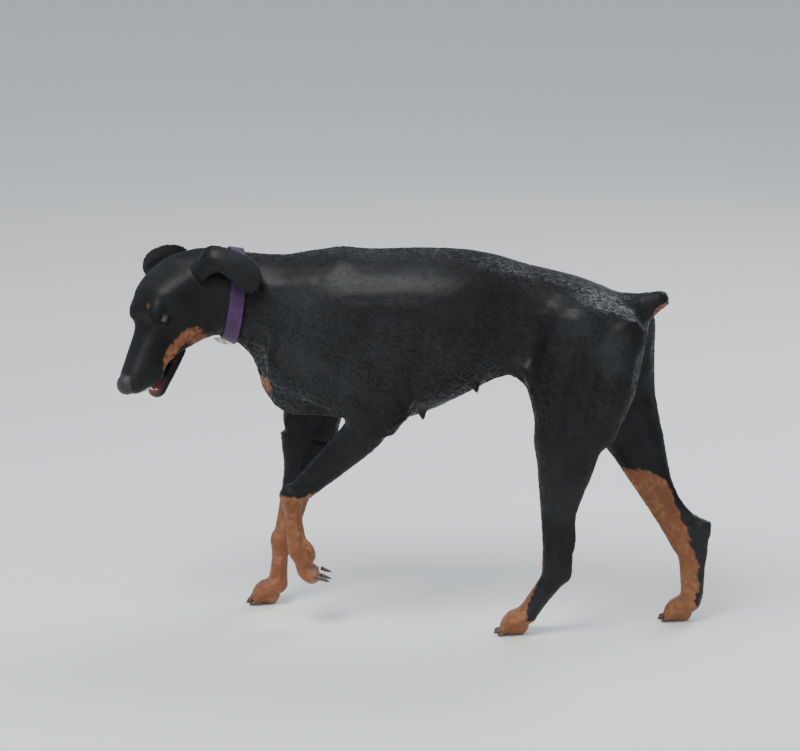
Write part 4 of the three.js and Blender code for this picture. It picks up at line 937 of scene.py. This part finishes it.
for knuckles, forward, upward, bend, tip, spread in PAWS.values():
    f = Vector(forward).normalized()
    s = Vector(upward).cross(f).normalized()
    u = f.cross(s)
    steep = math.atan2(tip[1] - bend[1], tip[0] - bend[0])
    slope = max(steep, STEEPEST)
    for rank in (-1.5, -0.5, 0.5, 1.5):
        reach = tip[0] + (INNER_TOES if abs(rank) < 1 else 0) + TOE_END * math.cos(steep)
        rise = tip[1] + TOE_END * math.sin(steep) + 2
        start = here(*knuckles) + (f * reach + s * rank * spread * 1.05 + u * rise) / 1000
        way = f * math.cos(slope) + u * math.sin(slope)
        points = [start + (way * d - u * drop) / 1000 for d, drop in CLAW_CURVE]
        points = [Vector((v.x, v.y, max(v.z, r + 0.0003))) for v, r in zip(points, CLAW_RADII)]
        claw_parts.append(cone(points, CLAW_RADII))
claws = joined("claws", claw_parts)
horn, tree, shader = new_material("horn")
place = tree.nodes.new("ShaderNodeTexCoord").outputs["Object"]
streaked = noise_node(tree, 150, 3, 0.6, place)
tree.links.new(mixed(tree, streaked, (0.020, 0.016, 0.013), (0.12, 0.085, 0.06)), shader.inputs["Base Color"])
shader.inputs["Roughness"].default_value = 0.35
claws.data.materials.append(horn)
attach(claws, "root")


# The collar band: flat woven purple nylon webbing, 25 mm wide, faded a little where it rubs,
# with rounded edges and a line of stitching along each side.
NYLON_DEEP = (0.030, 0.004, 0.048)
NYLON_WORN = (0.060, 0.009, 0.085)
# a darker purple, painted into the dips of the weave as shade
NYLON_PAINTED_SHADE = (0.02, 0.006, 0.035)
RIB_PITCH, PICK_PITCH = 0.0016, 0.0022
BAND_WIDTH, BAND_ROUND = 0.025, 0.52
BEVEL_STEPS = 3


def shown_copy(name, node, bevel):
    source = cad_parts[node].data
    made = new_object(name, corner_array(source), [tuple(f.vertices) for f in source.polygons], smooth=False)
    if bevel:
        edge = made.modifiers.new("bevel", "BEVEL")
        edge.width = bevel
        edge.segments = BEVEL_STEPS
        edge.limit_method = "ANGLE"
        edge.angle_limit = math.radians(40)
    return made


COLLAR_CENTRE = here(-374, -8, 594)
COLLAR_AXIS = Vector((-0.93, -0.33, 0.12)).normalized()
collar_up = (Vector((0, 0, 1)) - COLLAR_AXIS * COLLAR_AXIS.z).normalized()
collar_side = COLLAR_AXIS.cross(collar_up)
band_source = corner_array(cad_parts["collar_band"].data)
offset = band_source - np.array(COLLAR_CENTRE)
along = offset @ np.array(COLLAR_AXIS)
height, aside = offset @ np.array(collar_up), offset @ np.array(collar_side)
angle = np.arctan2(aside, height)
radius = np.hypot(aside, height)


def band_radius(turn, share):
    """The radius of the webbing's outer face at an angle, front (0) to back (1)."""
    near = along > 0 if share < 0.5 else along < 0
    outer = {}
    for a, r in sorted(zip(np.round(angle[near], 2), radius[near])):
        outer[a] = max(outer.get(a, 0), r)
    keys = np.array(sorted(outer))
    values = np.array([outer[k] for k in keys])
    return np.interp(turn, keys, values, period=2 * math.pi)


ROUND, ACROSS = 160, 14
turns = np.linspace(0, 2 * math.pi, ROUND, endpoint=False)
front_radius, rear_radius = band_radius(turns, 0), band_radius(turns, 1)
half_width, thick = 0.0124, 0.0026
RIM = 0.08  # the share of the width that rounds off at each edge
section = []
for i in range(ACROSS + 1):
    share = i / ACROSS
    rim = min(share, 1 - share)
    edge = math.sin(math.pi * rim / (2 * RIM)) if rim < RIM else 1
    section.append((share, -0.0004 - 0.0006 * (1 - edge)))
for i in range(ACROSS + 1):
    section.append((1 - i / ACROSS, -thick))
verts, faces = [], []
for turn, front, rear in zip(turns, front_radius, rear_radius):
    for share, depth in section:
        r = front + (rear - front) * share + depth
        spoke = collar_up * math.cos(turn) + collar_side * math.sin(turn)
        verts.append(COLLAR_CENTRE + COLLAR_AXIS * (half_width * (1 - 2 * share)) + spoke * r)
rows = len(section)
for i in range(ROUND):
    for j in range(rows):
        k, m = (i + 1) % ROUND, (j + 1) % rows
        faces.append((i * rows + j, i * rows + m, k * rows + m, k * rows + j))
band = new_object("collar_webbing", verts, faces)
webbing, tree, shader = new_material("webbing")
uv = band.data.uv_layers.new(name="weave")
spots = []
for face in band.data.polygons:
    for vertex in face.vertices:
        i, j = divmod(vertex, rows)
        wrapped = i + (ROUND if face.vertices[0] // rows == ROUND - 1 and i == 0 else 0)
        spots += [wrapped / ROUND * BAND_ROUND, section[j][0] * BAND_WIDTH]
uv.data.foreach_set("uv", spots)
threads = tree.nodes.new("ShaderNodeUVMap")
threads.uv_map = "weave"
split = tree.nodes.new("ShaderNodeSeparateXYZ")
tree.links.new(threads.outputs[0], split.inputs[0])
rib = maths(tree, "SINE", maths(tree, "MULTIPLY", split.outputs["Y"], 2 * math.pi / RIB_PITCH), 0)
pick = maths(tree, "SINE", maths(tree, "MULTIPLY", split.outputs["X"], 2 * math.pi / PICK_PITCH), 0)
weave = maths(tree, "MULTIPLY", rib, pick)
relief = tree.nodes.new("ShaderNodeBump")
relief.inputs["Strength"].default_value = 0.7
relief.inputs["Distance"].default_value = 0.0005
tree.links.new(weave, relief.inputs["Height"])
tree.links.new(relief.outputs["Normal"], shader.inputs["Normal"])
place = tree.nodes.new("ShaderNodeTexCoord").outputs["Object"]
worn = ramp(tree, noise_node(tree, 55, 4, 0.6, place), 0.42, 0.72)
base = mixed(tree, worn, NYLON_DEEP, NYLON_WORN)
# painted shade: the dips of the weave are mixed towards a darker purple
weave_painted_shade = maths(tree, "MULTIPLY", ramp(tree, weave, -0.2, -1.0), 0.5)
tree.links.new(mixed(tree, weave_painted_shade, base, NYLON_PAINTED_SHADE), shader.inputs["Base Color"])
shader.inputs["Roughness"].default_value = 0.62
shader.inputs["Sheen Weight"].default_value = 0.05
band.data.materials.append(webbing)
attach(band, "root")
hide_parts("collar_band")

# The stitching: a dashed line of slightly paler purple thread near each edge of the webbing. Each
# stitch stands out a little and dips into the weave at its ends.
STITCH, STITCH_GAP = 0.0030, 0.0014
STITCH_LINES = (0.12, 0.88)  # shares of the width
STITCH_RADII = (0.00032, 0.00038, 0.00032)
stitch_parts = []
circle = float(np.mean(front_radius)) * 2 * math.pi
steps = int(circle / (STITCH + STITCH_GAP))
for share in STITCH_LINES:
    for i in range(steps):
        ends = [2 * math.pi * (i + d) / steps for d in (0.0, 0.34, 0.68)]
        points = []
        for n, turn in enumerate(ends):
            r = np.interp(turn, turns, front_radius, period=2 * math.pi) * (1 - share)
            r += np.interp(turn, turns, rear_radius, period=2 * math.pi) * share
            spoke = collar_up * math.cos(turn) + collar_side * math.sin(turn)
            lift = 0.00005 if n == 1 else -0.0006
            points.append(COLLAR_CENTRE + COLLAR_AXIS * (half_width * (1 - 2 * share)) + spoke * (r + lift))
        stitch_parts.append(cone(points, STITCH_RADII, 5))
stitching = joined("collar_stitching", stitch_parts)
thread, tree, shader = new_material("thread")
shader.inputs["Base Color"].default_value = (0.15, 0.06, 0.22, 1)
shader.inputs["Roughness"].default_value = 0.7
stitching.data.materials.append(thread)
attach(stitching, "root")


# The keeper and the ring under the throat: plated steel, bright, dulled and
# brownish in places.
metal, tree, shader = new_material("plated_steel")
place = tree.nodes.new("ShaderNodeTexCoord").outputs["Object"]
dulled = ramp(tree, noise_node(tree, 180, 4, 0.6, place), 0.5, 0.75)
tree.links.new(mixed(tree, dulled, (0.60, 0.56, 0.42), (0.24, 0.19, 0.12)), shader.inputs["Base Color"])
shader.inputs["Metallic"].default_value = 1.0
tree.links.new(maths(tree, "ADD", maths(tree, "MULTIPLY", dulled, 0.2), 0.22), shader.inputs["Roughness"])
for name, node, bevel in (("keeper", "collar_buckle", 0.0009), ("ring", "collar_ring", 0.0)):
    fitting = shown_copy(name, node, bevel)
    if not bevel:
        fine = fitting.modifiers.new("fine", "SUBSURF")
        fine.levels = fine.render_levels = 2
        fitting.data.polygons.foreach_set("use_smooth", [True] * len(fitting.data.polygons))
    fitting.data.materials.append(metal)
    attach(fitting, "root")
    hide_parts(node)
